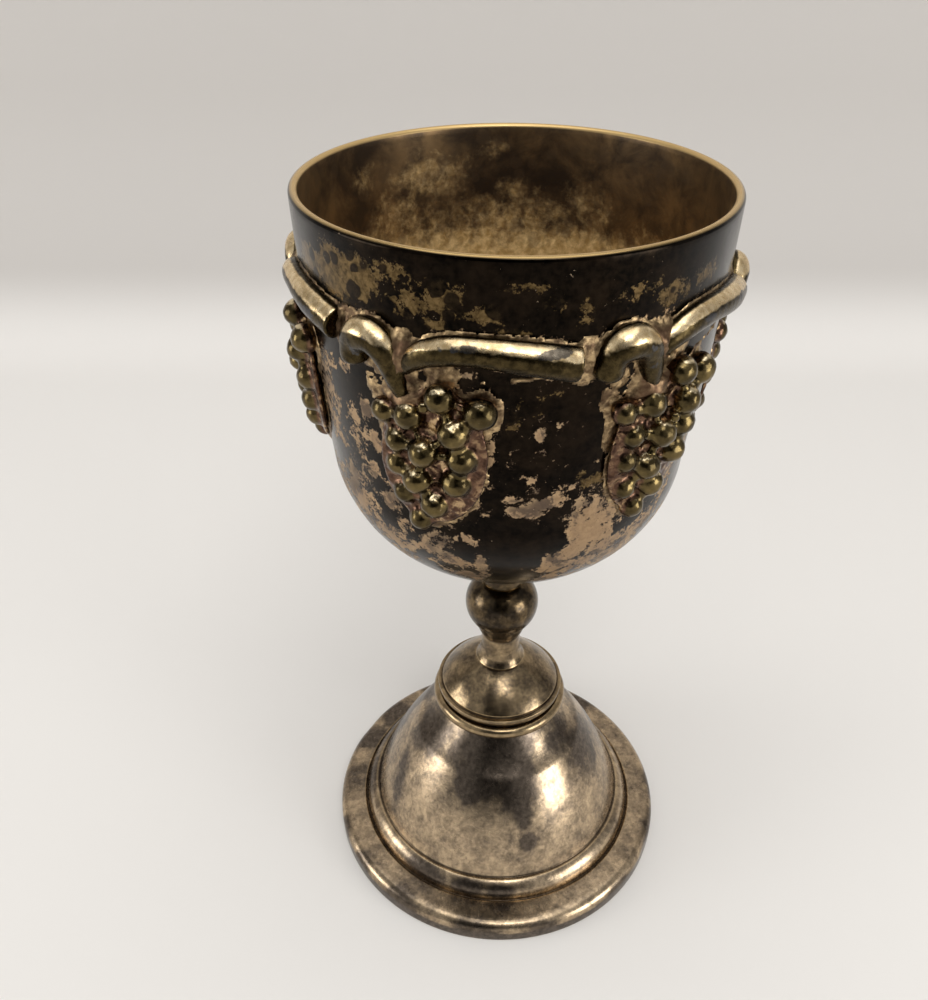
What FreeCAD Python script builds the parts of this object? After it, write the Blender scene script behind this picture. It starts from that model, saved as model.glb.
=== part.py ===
"""Communion chalice: a spun cup, a turned stem clamped on a stud, a spun foot, and six
grapevine castings soldered round the cup.

Millimetres, +Z up, origin at the middle of the circle that the foot stands on.
Angles round the cup are measured from -Y towards +X.
"""
import FreeCAD, Part

import math
import os

import Sketcher
from FreeCAD import Placement, Rotation, Vector

os.makedirs("parts", exist_ok=True)
document = FreeCAD.newDocument("communion_chalice")


# Driving dimensions ------------------------------------------------------------------

DIMENSIONS = {
    # the cup, spun from sheet
    "cup_height": 165.0,
    "lip_radius": 38.35,
    "lip_round": 0.8,
    "lip_centre": 164.2,
    "cup_wall": 1.3,
    "shoulder_radius": 34.75,
    "shoulder_height": 115.5,
    "side_radius": 24.9,
    "side_height": 95.6,
    "side_inner_radius": 24.1,
    "side_inner_height": 96.6,
    "wall_arc": 615.0,
    "side_arc": 28.0,
    "floor_arc": 38.7,
    "seat_radius": 8.0,
    "seat_height": 87.4,
    # the stud that ties everything together
    "stud_radius": 2.45,
    "stud_end": 32.6,
    "stud_chamfer": 0.6,
    "stud_bore": 2.65,
    "flange_radius": 4.6,
    "flange_thickness": 1.5,
    # the stem, turned
    "stem_flare_arc": 15.0,
    "stem_flare_edge": 0.8,
    "knop_top": 76.2,
    "knop_neck_radius": 4.55,
    "knop_radius": 8.3,
    "knop_height": 70.0,
    "knop_upper_arc": 7.0,
    "knop_lower_arc": 8.0,
    "knop_turn_radius": 6.84,
    "knop_turn_height": 65.4,
    "knop_throat_arc": 11.6,
    "knop_base_radius": 5.2,
    "knop_base": 62.0,
    "waist_radius": 4.5,
    "waist_head_radius": 4.85,
    "waist_head_height": 60.6,
    "waist_low_height": 56.4,
    "waist_arc": 5.0,
    "waist_foot_radius": 5.9,
    # the collar, a domed disc on a beaded ring
    "dome_top": 53.2,
    "dome_arc": 26.0,
    "dome_edge_radius": 13.9,
    "dome_edge_height": 46.2,
    "disc_step_height": 45.6,
    "disc_radius": 14.9,
    "disc_base": 44.4,
    "bead_core_radius": 14.7,
    "bead_round": 1.52,
    "bead_top": 43.2,
    "bead_groove_radius": 14.0,
    # the foot, spun from sheet
    "foot_top": 40.2,
    "foot_sheet": 1.1,
    "neck_radius": 12.6,
    "neck_height": 39.4,
    "neck_arc": 34.0,
    "bell_radius": 20.0,
    "bell_height": 31.0,
    "bell_arc": 75.0,
    "bell_foot_radius": 30.8,
    "bell_foot_height": 9.9,
    "upper_groove_radius": 31.1,
    "upper_groove_height": 9.1,
    "moulding_top_radius": 31.6,
    "moulding_top_height": 9.4,
    "moulding_arc": 4.6,
    "moulding_foot_radius": 34.2,
    "lower_groove_radius": 34.5,
    "lower_groove_height": 5.0,
    "band_inner_radius": 34.9,
    "band_height": 5.6,
    "band_outer_radius": 39.3,
    "band_outer_height": 5.1,
    "edge_arc": 2.6,
    "edge_top": 2.6,
    "foot_radius": 41.4,
    "hem_thickness": 2.4,
    "hem_height": 3.4,
    # washer and nut under the crown of the foot
    "washer_radius": 9.0,
    "washer_thickness": 1.1,
    "nut_across_flats": 8.0,
    "nut_thickness": 4.0,
    # the castings
    "vine_tip": 1.1,
    "vine_thin": 2.1,
    "vine_thick": 2.8,
    "scroll_tip": 0.9,
    "scroll_foot": 2.5,
    "scroll_thick": 2.8,
    "grape_small": 2.05,
    "grape_medium": 2.3,
    "grape_large": 2.5,
    "core_width": 9.2,
    "core_length": 14.0,
    "core_depth": 0.9,
    "core_lean": 8.0,
    "core_tilt": 4.2,
}
REPEATS = 6
FIRST_BUNCH_ANGLE = -22.0

sheet = document.addObject("Spreadsheet::Sheet", "dims")
for row, (alias, size) in enumerate(DIMENSIONS.items(), start=1):
    sheet.set(f"A{row}", alias.replace("_", " "))
    sheet.set(f"B{row}", str(size))
    sheet.setAlias(f"B{row}", alias)
document.recompute()


def value(expression):
    """Number for a sum or difference of sheet names, such as "foot_top - foot_sheet"."""
    total = 0.0
    sign = 1.0
    for word in expression.split():
        if word in ("+", "-"):
            sign = 1.0 if word == "+" else -1.0
        else:
            total += sign * (DIMENSIONS[word] if word in DIMENSIONS else float(word))
    return total


def bound(expression):
    """The same expression as FreeCAD reads it, with each name taken from the sheet."""
    return " ".join("dims." + word if word in DIMENSIONS else word for word in expression.split())


# Turned and spun pieces --------------------------------------------------------------

def arc_centre(start, end, radius):
    """Centre of the arc from start to end; a positive radius turns anticlockwise."""
    chord = end - start
    rise = math.sqrt(radius ** 2 - (chord.Length / 2) ** 2)
    side = Vector(-chord.y, chord.x, 0) / chord.Length
    return (start + end) / 2 + side * math.copysign(rise, radius)


def arc_between(start, end, radius):
    """Sketch arc, which FreeCAD always runs anticlockwise."""
    centre = arc_centre(start, end, radius)
    first, last = (start, end) if radius > 0 else (end, start)
    first_angle = math.atan2(first.y - centre.y, first.x - centre.x)
    last_angle = math.atan2(last.y - centre.y, last.x - centre.x)
    circle = Part.Circle(centre, Vector(0, 0, 1), abs(radius))
    return Part.ArcOfCircle(circle, first_angle, last_angle)


def origin_plane(body, role):
    return next(plane for plane in body.Origin.OriginFeatures if plane.Role == role)


def draw_outline(body, corners):
    """Closed sketch in the body's XZ plane.

    Each corner is (radius, height) or (radius, height, arc, turn): the arc runs from that
    corner to the next, and a turn of -1 makes it run clockwise.
    """
    sketch = body.newObject("Sketcher::SketchObject", body.Label + "_outline")
    sketch.AttachmentSupport = [(origin_plane(body, "XZ_Plane"), "")]
    sketch.MapMode = "FlatFace"
    points = [Vector(value(corner[0]), value(corner[1]), 0) for corner in corners]
    start_ends = []
    for index, corner in enumerate(corners):
        start = points[index]
        end = points[(index + 1) % len(points)]
        if len(corner) == 2:
            sketch.addGeometry(Part.LineSegment(start, end), False)
            start_ends.append((1, 2))
        else:
            sketch.addGeometry(arc_between(start, end, value(corner[2]) * corner[3]), False)
            start_ends.append((1, 2) if corner[3] > 0 else (2, 1))
    for index, corner in enumerate(corners):
        following = (index + 1) % len(corners)
        sketch.addConstraint(Sketcher.Constraint(
            "Coincident", index, start_ends[index][1], following, start_ends[following][0]))
        for direction, expression in (("DistanceX", corner[0]), ("DistanceY", corner[1])):
            number = sketch.addConstraint(Sketcher.Constraint(
                direction, -1, 1, index, start_ends[index][0], value(expression)))
            if expression != "0":
                sketch.setExpression(f"Constraints[{number}]", bound(expression))
        if len(corner) == 4:
            number = sketch.addConstraint(Sketcher.Constraint("Radius", index, value(corner[2])))
            sketch.setExpression(f"Constraints[{number}]", bound(corner[2]))
    return sketch


def turned(label, corners):
    """Body made by turning one closed outline about the chalice's axis."""
    body = document.addObject("PartDesign::Body", label)
    body.Label = label
    sketch = draw_outline(body, corners)
    revolution = body.newObject("PartDesign::Revolution", label + "_turning")
    revolution.Profile = sketch
    revolution.ReferenceAxis = (sketch, ["V_Axis"])
    revolution.Angle = 360
    sketch.Visibility = False
    return body


CUP_OUTSIDE = [
    ("0", "seat_height"),
    ("seat_radius", "seat_height", "floor_arc", 1),
    ("side_radius", "side_height", "side_arc", 1),
    ("shoulder_radius", "shoulder_height", "wall_arc", 1),
]


def make_cup():
    return turned("cup", CUP_OUTSIDE + [
        ("lip_radius", "lip_centre", "lip_round", 1),
        ("lip_radius - lip_round - lip_round", "lip_centre", "wall_arc", -1),
        ("shoulder_radius - cup_wall", "shoulder_height", "side_arc - cup_wall", -1),
        ("side_inner_radius", "side_inner_height", "floor_arc - cup_wall", -1),
        ("seat_radius", "seat_height + cup_wall"),
        ("0", "seat_height + cup_wall"),
    ])


def make_cup_blank():
    """The cup's outside as one solid, used only to shape the backs of the castings."""
    return turned("cup_blank", CUP_OUTSIDE + [
        ("lip_radius", "lip_centre"),
        ("0", "lip_centre"),
    ])


def make_stud():
    """Threaded stud with the flange that is brazed under the cup."""
    return turned("tie_stud", [
        ("0", "stud_end"),
        ("stud_radius - stud_chamfer", "stud_end"),
        ("stud_radius", "stud_end + stud_chamfer"),
        ("stud_radius", "seat_height - flange_thickness"),
        ("flange_radius", "seat_height - flange_thickness"),
        ("flange_radius", "seat_height"),
        ("0", "seat_height"),
    ])


def make_upper_stem():
    """Flared collar that carries the cup, recessed on top for the stud's flange."""
    return turned("upper_stem", [
        ("stud_bore", "knop_top"),
        ("knop_neck_radius", "knop_top", "stem_flare_arc", -1),
        ("seat_radius", "seat_height - stem_flare_edge"),
        ("seat_radius", "seat_height"),
        ("flange_radius", "seat_height"),
        ("flange_radius", "seat_height - flange_thickness"),
        ("stud_bore", "seat_height - flange_thickness"),
    ])


def make_knop():
    return turned("stem_knop", [
        ("stud_bore", "knop_base"),
        ("knop_base_radius", "knop_base", "knop_throat_arc", -1),
        ("knop_turn_radius", "knop_turn_height", "knop_lower_arc", 1),
        ("knop_radius", "knop_height", "knop_upper_arc", 1),
        ("knop_neck_radius", "knop_top"),
        ("stud_bore", "knop_top"),
    ])


def make_lower_stem():
    return turned("lower_stem", [
        ("stud_bore", "dome_top"),
        ("waist_foot_radius", "dome_top", "waist_arc", -1),
        ("waist_radius", "waist_low_height"),
        ("waist_radius", "waist_head_height"),
        ("waist_head_radius", "knop_base"),
        ("stud_bore", "knop_base"),
    ])


def make_collar_disc():
    return turned("collar_disc", [
        ("stud_bore", "disc_base"),
        ("disc_radius", "disc_base"),
        ("disc_radius", "disc_step_height"),
        ("dome_edge_radius", "disc_step_height"),
        ("dome_edge_radius", "dome_edge_height", "dome_arc", 1),
        ("waist_foot_radius", "dome_top"),
        ("stud_bore", "dome_top"),
    ])


def make_collar_ring():
    return turned("collar_ring", [
        ("stud_bore", "foot_top"),
        ("bead_core_radius", "foot_top", "bead_round", 1),
        ("bead_core_radius", "bead_top"),
        ("bead_groove_radius", "bead_top"),
        ("bead_groove_radius", "disc_base"),
        ("stud_bore", "disc_base"),
    ])


def make_foot():
    """Bell-shaped foot: one sheet with a flat crown, a moulding and a folded edge."""
    return turned("foot", [
        ("foot_radius - hem_thickness", "0"),
        ("foot_radius", "0"),
        ("foot_radius", "edge_top", "edge_arc", 1),
        ("band_outer_radius", "band_outer_height"),
        ("band_inner_radius", "band_height"),
        ("lower_groove_radius", "lower_groove_height"),
        ("moulding_foot_radius", "band_height", "moulding_arc", 1),
        ("moulding_top_radius", "moulding_top_height"),
        ("upper_groove_radius", "upper_groove_height"),
        ("bell_foot_radius", "bell_foot_height", "bell_arc", 1),
        ("bell_radius", "bell_height", "neck_arc", -1),
        ("neck_radius", "neck_height"),
        ("neck_radius", "foot_top"),
        ("stud_bore", "foot_top"),
        ("stud_bore", "foot_top - foot_sheet"),
        ("neck_radius - foot_sheet", "foot_top - foot_sheet"),
        ("neck_radius - foot_sheet", "neck_height - foot_sheet", "neck_arc + foot_sheet", 1),
        ("bell_radius - foot_sheet", "bell_height - foot_sheet", "bell_arc", -1),
        ("bell_foot_radius - foot_sheet", "bell_foot_height - foot_sheet"),
        ("moulding_foot_radius - foot_sheet", "band_height - foot_sheet"),
        ("foot_radius - hem_thickness", "hem_height"),
    ])


def make_washer():
    return turned("foot_washer", [
        ("stud_bore", "foot_top - foot_sheet - washer_thickness"),
        ("washer_radius", "foot_top - foot_sheet - washer_thickness"),
        ("washer_radius", "foot_top - foot_sheet"),
        ("stud_bore", "foot_top - foot_sheet"),
    ])


def make_nut():
    """Hexagon nut drawn up under the washer."""
    body = document.addObject("PartDesign::Body", "foot_nut")
    body.Label = "foot_nut"
    sketch = body.newObject("Sketcher::SketchObject", "nut_hexagon")
    sketch.AttachmentSupport = [(origin_plane(body, "XY_Plane"), "")]
    sketch.MapMode = "FlatFace"
    corner_radius = DIMENSIONS["nut_across_flats"] / math.sqrt(3)
    corners = [Vector(corner_radius * math.cos(math.radians(60 * side)),
                      corner_radius * math.sin(math.radians(60 * side)), 0) for side in range(6)]
    for side in range(6):
        sketch.addGeometry(Part.LineSegment(corners[side], corners[(side + 1) % 6]), False)
    guide = sketch.addGeometry(
        Part.Circle(Vector(0, 0, 0), Vector(0, 0, 1), corner_radius), True)
    sketch.addConstraint(Sketcher.Constraint("Coincident", guide, 3, -1, 1))
    for side in range(6):
        sketch.addConstraint(Sketcher.Constraint("Coincident", side, 2, (side + 1) % 6, 1))
        sketch.addConstraint(Sketcher.Constraint("PointOnObject", side, 1, guide))
    for side in range(1, 6):
        sketch.addConstraint(Sketcher.Constraint("Equal", 0, side))
    sketch.addConstraint(Sketcher.Constraint("PointOnObject", 0, 1, -1))
    diameter = sketch.addConstraint(Sketcher.Constraint("Radius", guide, corner_radius))
    sketch.setExpression(f"Constraints[{diameter}]", "dims.nut_across_flats / sqrt(3)")
    pad = body.newObject("PartDesign::Pad", "nut_blank")
    pad.Profile = sketch
    pad.setExpression("Length", "dims.nut_thickness")
    bore_sketch = body.newObject("Sketcher::SketchObject", "nut_bore_circle")
    bore_sketch.AttachmentSupport = [(origin_plane(body, "XY_Plane"), "")]
    bore_sketch.MapMode = "FlatFace"
    bore_circle = bore_sketch.addGeometry(
        Part.Circle(Vector(0, 0, 0), Vector(0, 0, 1), DIMENSIONS["stud_radius"]), False)
    bore_sketch.addConstraint(Sketcher.Constraint("Coincident", bore_circle, 3, -1, 1))
    radius = bore_sketch.addConstraint(
        Sketcher.Constraint("Radius", bore_circle, DIMENSIONS["stud_radius"]))
    bore_sketch.setExpression(f"Constraints[{radius}]", "dims.stud_radius")
    bore = body.newObject("PartDesign::Pocket", "nut_bore")
    bore.Profile = bore_sketch
    bore.Type = "ThroughAll"
    bore.Midplane = True
    body.setExpression(
        "Placement.Base.z",
        bound("foot_top - foot_sheet - washer_thickness - nut_thickness"))
    return body


# Castings soldered round the cup -----------------------------------------------------
# Each repeat is a vine branch, a curled scroll and a bunch of grapes. Points on the cup are
# (degrees from the middle of the bunch, height, stand-off of the centre line, radius name).

BRANCH_LINE = [
    (-7.1, 145.2, 0.2, "vine_tip"),
    (-4.4, 147.2, 0.3, "vine_thin - 0.4"),
    (-1.6, 148.7, 0.4, "vine_thin"),
    (2.0, 149.8, 0.5, "vine_thin + 0.2"),
    (6.9, 150.5, 0.5, "vine_thin + 0.3"),
    (12.7, 150.6, 0.5, "vine_thick - 0.4"),
    (21.3, 150.1, 0.6, "vine_thick - 0.2"),
    (27.9, 149.4, 0.6, "vine_thick - 0.1"),
    (34.3, 148.6, 0.6, "vine_thick"),
]
SCROLL_LINE = [
    (-19.6, 144.8, 0.5, "scroll_foot - 0.5"),
    (-19.6, 146.3, 0.6, "scroll_foot"),
    (-19.0, 148.2, 0.7, "scroll_foot"),
    (-16.9, 149.8, 0.8, "scroll_thick"),
    (-13.6, 150.2, 0.8, "scroll_thick"),
    (-10.4, 148.8, 0.8, "scroll_thick - 0.3"),
    (-8.6, 146.3, 0.7, "scroll_foot - 0.4"),
    (-7.4, 143.7, 0.6, "scroll_foot - 0.7"),
    (-6.2, 141.2, 0.6, "scroll_tip + 0.3"),
    (-5.2, 139.5, 0.6, "scroll_tip"),
]
GRAPES = [
    (-12.2, 137.6, 0.8, "grape_small"),
    (-4.7, 138.2, 1.4, "grape_medium"),
    (3.4, 142.4, 1.6, "grape_medium"),
    (12.8, 140.4, 1.3, "grape_large"),
    (6.5, 136.6, 2.2, "grape_medium"),
    (-0.9, 132.1, 2.4, "grape_medium"),
    (-8.7, 132.8, 1.1, "grape_small"),
    (8.3, 131.5, 1.6, "grape_medium"),
    (-9.5, 127.7, 0.8, "grape_small"),
    (-3.4, 126.0, 2.0, "grape_medium"),
    (6.7, 126.5, 1.5, "grape_medium"),
    (-8.4, 122.0, 0.8, "grape_small"),
    (0.5, 121.1, 1.4, "grape_medium"),
    (-4.0, 116.9, 0.9, "grape_small"),
]
BUNCH_MIDDLE = 130.0
# The castings were set by hand, so each repeat sits a little higher or lower, and its
# scroll a fraction of a degree to one side.
LIFTS = [0.0, 0.9, 0.4, -0.3, 0.6, 1.2]
SCROLL_TURNS = [-0.7, 1.5, 0.3, -0.4, 0.2, -0.2]


def cup_radius(height):
    """Outside radius of the cup's wall at a height."""
    foot = Vector(DIMENSIONS["shoulder_radius"], DIMENSIONS["shoulder_height"], 0)
    top = Vector(DIMENSIONS["lip_radius"], DIMENSIONS["lip_centre"], 0)
    arc = DIMENSIONS["wall_arc"]
    centre = arc_centre(foot, top, arc)
    return centre.x + math.sqrt(arc ** 2 - (height - centre.y) ** 2)


def on_cup(angle, height, stand_off):
    distance = cup_radius(height) + stand_off
    return Vector(distance * math.sin(math.radians(angle)),
                  -distance * math.cos(math.radians(angle)), height)


def tapered_bar(label, line):
    """Round bar of changing thickness bent along the cup, lofted through circles.

    No pad or pipe tapers along a bent line, so the shape is set here. Every circle starts on
    the side of the wall, where the loft's seam is cut away with the back of the bar.
    """
    centres = [on_cup(angle, height, stand_off) for angle, height, stand_off, _ in line]
    spine = Part.BSplineCurve()
    spine.interpolate(centres)
    circles = []
    for centre, station in zip(centres, line):
        direction = spine.tangent(spine.parameter(centre))[0]
        inward = Vector(-centre.x, -centre.y, 0)
        circle = Part.makeCircle(value(station[3]))
        circle.Placement = Placement(centre, Rotation(inward, Vector(), direction, "ZXY"))
        circles.append(Part.Wire(circle))
    bar = document.addObject("Part::Feature", label)
    bar.Shape = Part.makeLoft(circles, True, False)
    return bar


def grape_cluster():
    """Grapes fused to the lens-shaped plate that backs them, each with a pole facing out."""
    facing_out = Rotation(Vector(1, 0, 0), 90)
    leaning = Rotation(Vector(0, 1, 0), DIMENSIONS["core_lean"]).multiply(facing_out)
    along_wall = Rotation(Vector(1, 0, 0), DIMENSIONS["core_tilt"]).multiply(leaning)
    core = document.addObject("Part::Ellipsoid", "cluster_plate")
    core.setExpression("Radius1", "dims.core_depth")
    core.setExpression("Radius2", "dims.core_width")
    core.setExpression("Radius3", "dims.core_length")
    core.Placement = Placement(on_cup(0.0, BUNCH_MIDDLE, 0.0), along_wall)
    pieces = [core]
    for number, (angle, height, stand_off, size) in enumerate(GRAPES, start=1):
        grape = document.addObject("Part::Sphere", f"grape_{number}")
        grape.setExpression("Radius", "dims." + size)
        grape.Placement = Placement(on_cup(angle, height, stand_off), facing_out)
        pieces.append(grape)
    cluster = document.addObject("Part::MultiFuse", "grape_cluster")
    cluster.Shapes = pieces
    return cluster


def placed_copy(pattern, label, angle, lift):
    """Copy of a casting pattern, turned to its place round the cup."""
    copy = document.addObject("Part::Feature", label)
    copy.Shape = pattern.Shape
    turn = Placement(Vector(0, 0, lift), Rotation(Vector(0, 0, 1), angle))
    copy.Placement = turn.multiply(pattern.Placement)
    return copy


def fitted(label, casting, neighbours):
    """Casting with its back and sides cut to the surfaces that it is soldered against."""
    shape = casting
    for number, neighbour in enumerate(neighbours, start=1):
        cut = document.addObject("Part::Cut", f"{label}_fit_{number}")
        cut.Base = shape
        cut.Tool = neighbour
        shape = cut
    shape.Label = label
    return shape


def make_castings(blank):
    branch_pattern = tapered_bar("branch_pattern", BRANCH_LINE)
    scroll_pattern = tapered_bar("scroll_pattern", SCROLL_LINE)
    cluster = grape_cluster()
    document.recompute()
    angles = [FIRST_BUNCH_ANGLE + 360 / REPEATS * place for place in range(REPEATS)]
    scrolls = []
    for place in range(REPEATS):
        bar = placed_copy(scroll_pattern, f"scroll_{place + 1}",
                          angles[place] + SCROLL_TURNS[place], LIFTS[place])
        scrolls.append(fitted(f"vine_scroll_{place + 1}", bar, [blank]))
    pieces = list(scrolls)
    for place in range(REPEATS):
        bar = placed_copy(branch_pattern, f"branch_{place + 1}", angles[place], LIFTS[place])
        touching = [blank, scrolls[place], scrolls[(place + 1) % REPEATS]]
        pieces.append(fitted(f"vine_branch_{place + 1}", bar, touching))
        bunch = placed_copy(cluster, f"bunch_{place + 1}", angles[place], LIFTS[place])
        pieces.append(fitted(f"grape_bunch_{place + 1}", bunch, [blank, scrolls[place]]))
    return pieces


# The whole chalice -------------------------------------------------------------------

pieces = [
    make_cup(),
    make_stud(),
    make_upper_stem(),
    make_knop(),
    make_lower_stem(),
    make_collar_disc(),
    make_collar_ring(),
    make_foot(),
    make_washer(),
    make_nut(),
]
cup_blank = make_cup_blank()
document.recompute()
pieces += make_castings(cup_blank)
document.recompute()

for item in document.Objects:
    if "Invalid" in item.State or "Error" in item.State:
        raise RuntimeError(f"{item.Label} failed: {item.State}")
for piece in pieces:
    shape = piece.Shape
    if shape.isNull() or not shape.isValid() or len(shape.Solids) != 1:
        raise RuntimeError(f"{piece.Label} is not one valid solid")
for piece in pieces:
    piece.Shape.exportStep(f"parts/{piece.Label}.step")
    print(f"{piece.Label}: {piece.Shape.Volume:.1f} mm3")
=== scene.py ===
"""Communion chalice: the finished look of its spun cup, turned stem, spun foot and cast
grapevine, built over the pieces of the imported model.

Metres, +Z up, -Y at the front. Angles round the chalice are degrees from -Y towards +X.
"""

import math

import bpy
import numpy as np
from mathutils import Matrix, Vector, noise
from mathutils.bvhtree import BVHTree


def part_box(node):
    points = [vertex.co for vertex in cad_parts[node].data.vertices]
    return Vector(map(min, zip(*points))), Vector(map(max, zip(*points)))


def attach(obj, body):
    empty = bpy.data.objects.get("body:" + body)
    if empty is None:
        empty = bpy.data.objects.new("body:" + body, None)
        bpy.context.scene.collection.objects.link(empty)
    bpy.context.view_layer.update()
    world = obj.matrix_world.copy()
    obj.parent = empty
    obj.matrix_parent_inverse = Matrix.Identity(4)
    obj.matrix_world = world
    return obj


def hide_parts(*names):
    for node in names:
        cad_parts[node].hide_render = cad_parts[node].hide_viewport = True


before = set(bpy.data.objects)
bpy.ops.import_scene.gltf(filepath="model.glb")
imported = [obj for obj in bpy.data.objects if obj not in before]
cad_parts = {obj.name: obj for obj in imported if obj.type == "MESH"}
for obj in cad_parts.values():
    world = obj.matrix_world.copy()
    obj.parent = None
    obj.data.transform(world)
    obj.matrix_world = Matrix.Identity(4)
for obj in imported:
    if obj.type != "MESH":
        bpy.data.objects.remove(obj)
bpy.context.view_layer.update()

MM = 0.001
REPEATS = 6
FIRST_BUNCH_ANGLE = -22.0

FINE_STEP = 0.12 * MM  # spacing of an outline's points while its corners are eased
ROW_TURN = math.radians(7)  # most that an outline turns from one row of a mesh to the next
AXIS_FLAT = 0.2 * MM  # radius of the small flat that closes a piece on the axis
FULL_BEND = 1.2  # radians for each mm at which an edge is fully raised, or a groove fully sunk


# Shapes of turned and spun pieces ----------------------------------------------------

def outline_of(node):
    """Half section of a turned piece: (radius, height) points in order, and whether it closes.

    An open half section starts and ends on the axis. It runs with the metal on its left.
    """
    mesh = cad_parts[node].data
    place = {v.index: (round(v.co.x, 7), round(v.co.z, 7)) for v in mesh.vertices
             if abs(v.co.y) < 1e-7 and v.co.x > -1e-9}
    links = {}
    for edge in mesh.edges:
        ends = [place.get(corner) for corner in edge.vertices]
        if None not in ends and ends[0] != ends[1]:
            links.setdefault(ends[0], []).append(ends[1])
            links.setdefault(ends[1], []).append(ends[0])
    ends = [point for point, near in links.items() if len(set(near)) == 1]
    points = [min(ends, key=lambda point: point[1]) if ends else min(links)]
    seen = set(points)
    while True:
        ahead = [point for point in links[points[-1]] if point not in seen]
        if not ahead:
            break
        points.append(ahead[0])
        seen.add(ahead[0])
    if ends:
        points = [(0.0, points[0][1])] + points + [(0.0, points[-1][1])]
    points = np.array(points)
    following = np.roll(points, -1, axis=0)
    if (points[:, 0] * following[:, 1] - following[:, 0] * points[:, 1]).sum() < 0:
        points = points[::-1]
    return points, not ends


def eased(points, closed, ease, step):
    """Outline with its corners averaged ease times, in rows no further apart than step."""
    if closed:
        points = np.vstack([points, points[:1]])
    keep = np.r_[True, np.hypot(*np.diff(points, axis=0).T) > 1e-9]
    points = points[keep]
    along = np.r_[0.0, np.cumsum(np.hypot(*np.diff(points, axis=0).T))]
    count = int(along[-1] / FINE_STEP)
    even = np.linspace(0.0, along[-1], count)
    fine = np.stack([np.interp(even, along, points[:, axis]) for axis in (0, 1)], axis=1)
    for _ in range(ease):
        if closed:
            ring = fine[:-1]
            ring = (np.roll(ring, 1, axis=0) + 2 * ring + np.roll(ring, -1, axis=0)) / 4
            fine = np.vstack([ring, ring[:1]])
        else:
            fine[1:-1] = (fine[:-2] + 2 * fine[1:-1] + fine[2:]) / 4
    directions = np.unwrap(np.arctan2(*np.diff(fine, axis=0).T[::-1]))
    rows = [0]
    for index in range(1, count - 1):
        turned_by = abs(directions[index] - directions[rows[-1]])
        run = (index - rows[-1]) * along[-1] / count
        if turned_by > ROW_TURN or run > step:
            rows.append(index)
    if not closed:
        rows.append(count - 1)
    return fine[rows]


def bending(rows, closed):
    """How sharply each row of an outline turns, in radians for each mm: outwards is positive."""
    if closed:
        before, after = rows - np.roll(rows, 1, axis=0), np.roll(rows, -1, axis=0) - rows
    else:
        padded = np.vstack([rows[:1], rows, rows[-1:]])
        before, after = padded[1:-1] - padded[:-2], padded[2:] - padded[1:-1]
    cross = before[:, 0] * after[:, 1] - before[:, 1] * after[:, 0]
    along = (before * after).sum(axis=1)
    turn = np.arctan2(cross, along) / ((np.hypot(*before.T) + np.hypot(*after.T)) / 2 / MM + 1e-6)
    if not closed:
        turn[[0, -1]] = 0.0
    return turn


def turned_piece(name, rows, closed, columns, shape=None):
    """Mesh turned from an outline. shape(angle, radius, height) gives each point's radius."""
    if not closed:
        rows = rows.copy()
        rows[[0, -1], 0] = AXIS_FLAT
    angles = np.radians(np.arange(columns) * 360.0 / columns)
    radius = np.repeat(rows[:, :1], columns, axis=1)
    height = np.repeat(rows[:, 1:], columns, axis=1)
    angle = np.repeat(angles[None], len(rows), axis=0)
    if shape:
        radius = shape(angle, radius, height)
    points = np.stack([radius * np.sin(angle), -radius * np.cos(angle), height], axis=2)
    faces = []
    last = len(rows) if closed else len(rows) - 1
    for row in range(last):
        here, above = row * columns, (row + 1) % len(rows) * columns
        for column in range(columns):
            beside = (column + 1) % columns
            faces.append((here + column, here + beside, above + beside, above + column))
    if not closed:
        faces.append(tuple(range(columns))[::-1])
        faces.append(tuple(range((len(rows) - 1) * columns, len(rows) * columns)))
    mesh = bpy.data.meshes.new(name)
    mesh.from_pydata(points.reshape(-1, 3).tolist(), [], faces)
    mesh.shade_smooth()
    piece = bpy.data.objects.new(name, mesh)
    bpy.context.scene.collection.objects.link(piece)
    turn = bending(rows, closed)
    write_value(mesh, "raised", np.repeat(np.clip(turn / FULL_BEND, 0, 1), columns))
    write_value(mesh, "sunk", np.repeat(np.clip(-turn / FULL_BEND, 0, 1), columns))
    return piece


def write_value(mesh, name, values):
    attribute = mesh.attributes.new(name, "FLOAT", "POINT")
    attribute.data.foreach_set("value", np.asarray(values, np.float32).ravel())


def points_of(mesh):
    places = np.empty(len(mesh.vertices) * 3, np.float32)
    mesh.vertices.foreach_get("co", places)
    return places.reshape(-1, 3).astype(float)


def normals_of(mesh):
    directions = np.empty(len(mesh.vertices) * 3, np.float32)
    mesh.vertex_normals.foreach_get("vector", directions)
    return directions.reshape(-1, 3).astype(float)


def move_points(mesh, places):
    mesh.vertices.foreach_set("co", places.astype(np.float32).ravel())
    mesh.update()


def ripple(angle, height, seed, waves, depth):
    """Slow unevenness round and along a spun wall, never more than depth and never outwards."""
    chance = np.random.default_rng(seed)
    total = np.zeros_like(height)
    for wave in range(waves):
        turns = 2 + wave
        total += np.cos(turns * angle + chance.uniform(0, 6.28)) * np.cos(
            height / (chance.uniform(9, 22) * MM) + chance.uniform(0, 6.28))
    return -depth * (0.5 + 0.5 * total / waves)


def dents(angle, radius, height, places):
    """Shallow knocks, each (angle, height, width in mm, depth in mm)."""
    total = np.zeros_like(height)
    for at, level, width, depth in places:
        across = (np.degrees(angle) - at + 180) % 360 - 180
        across = np.radians(across) * radius / MM
        up = height / MM - level
        total -= depth * MM * np.exp(-(across ** 2 + up ** 2) / width ** 2)
    return total


# The cup's wall, which the castings sit on --------------------------------------------

CUP_OUTLINE, _ = outline_of("cup")
LIP_ROW = int(np.argmax(CUP_OUTLINE[:, 1]))
CUP_SIDE = CUP_OUTLINE[:LIP_ROW]


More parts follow.
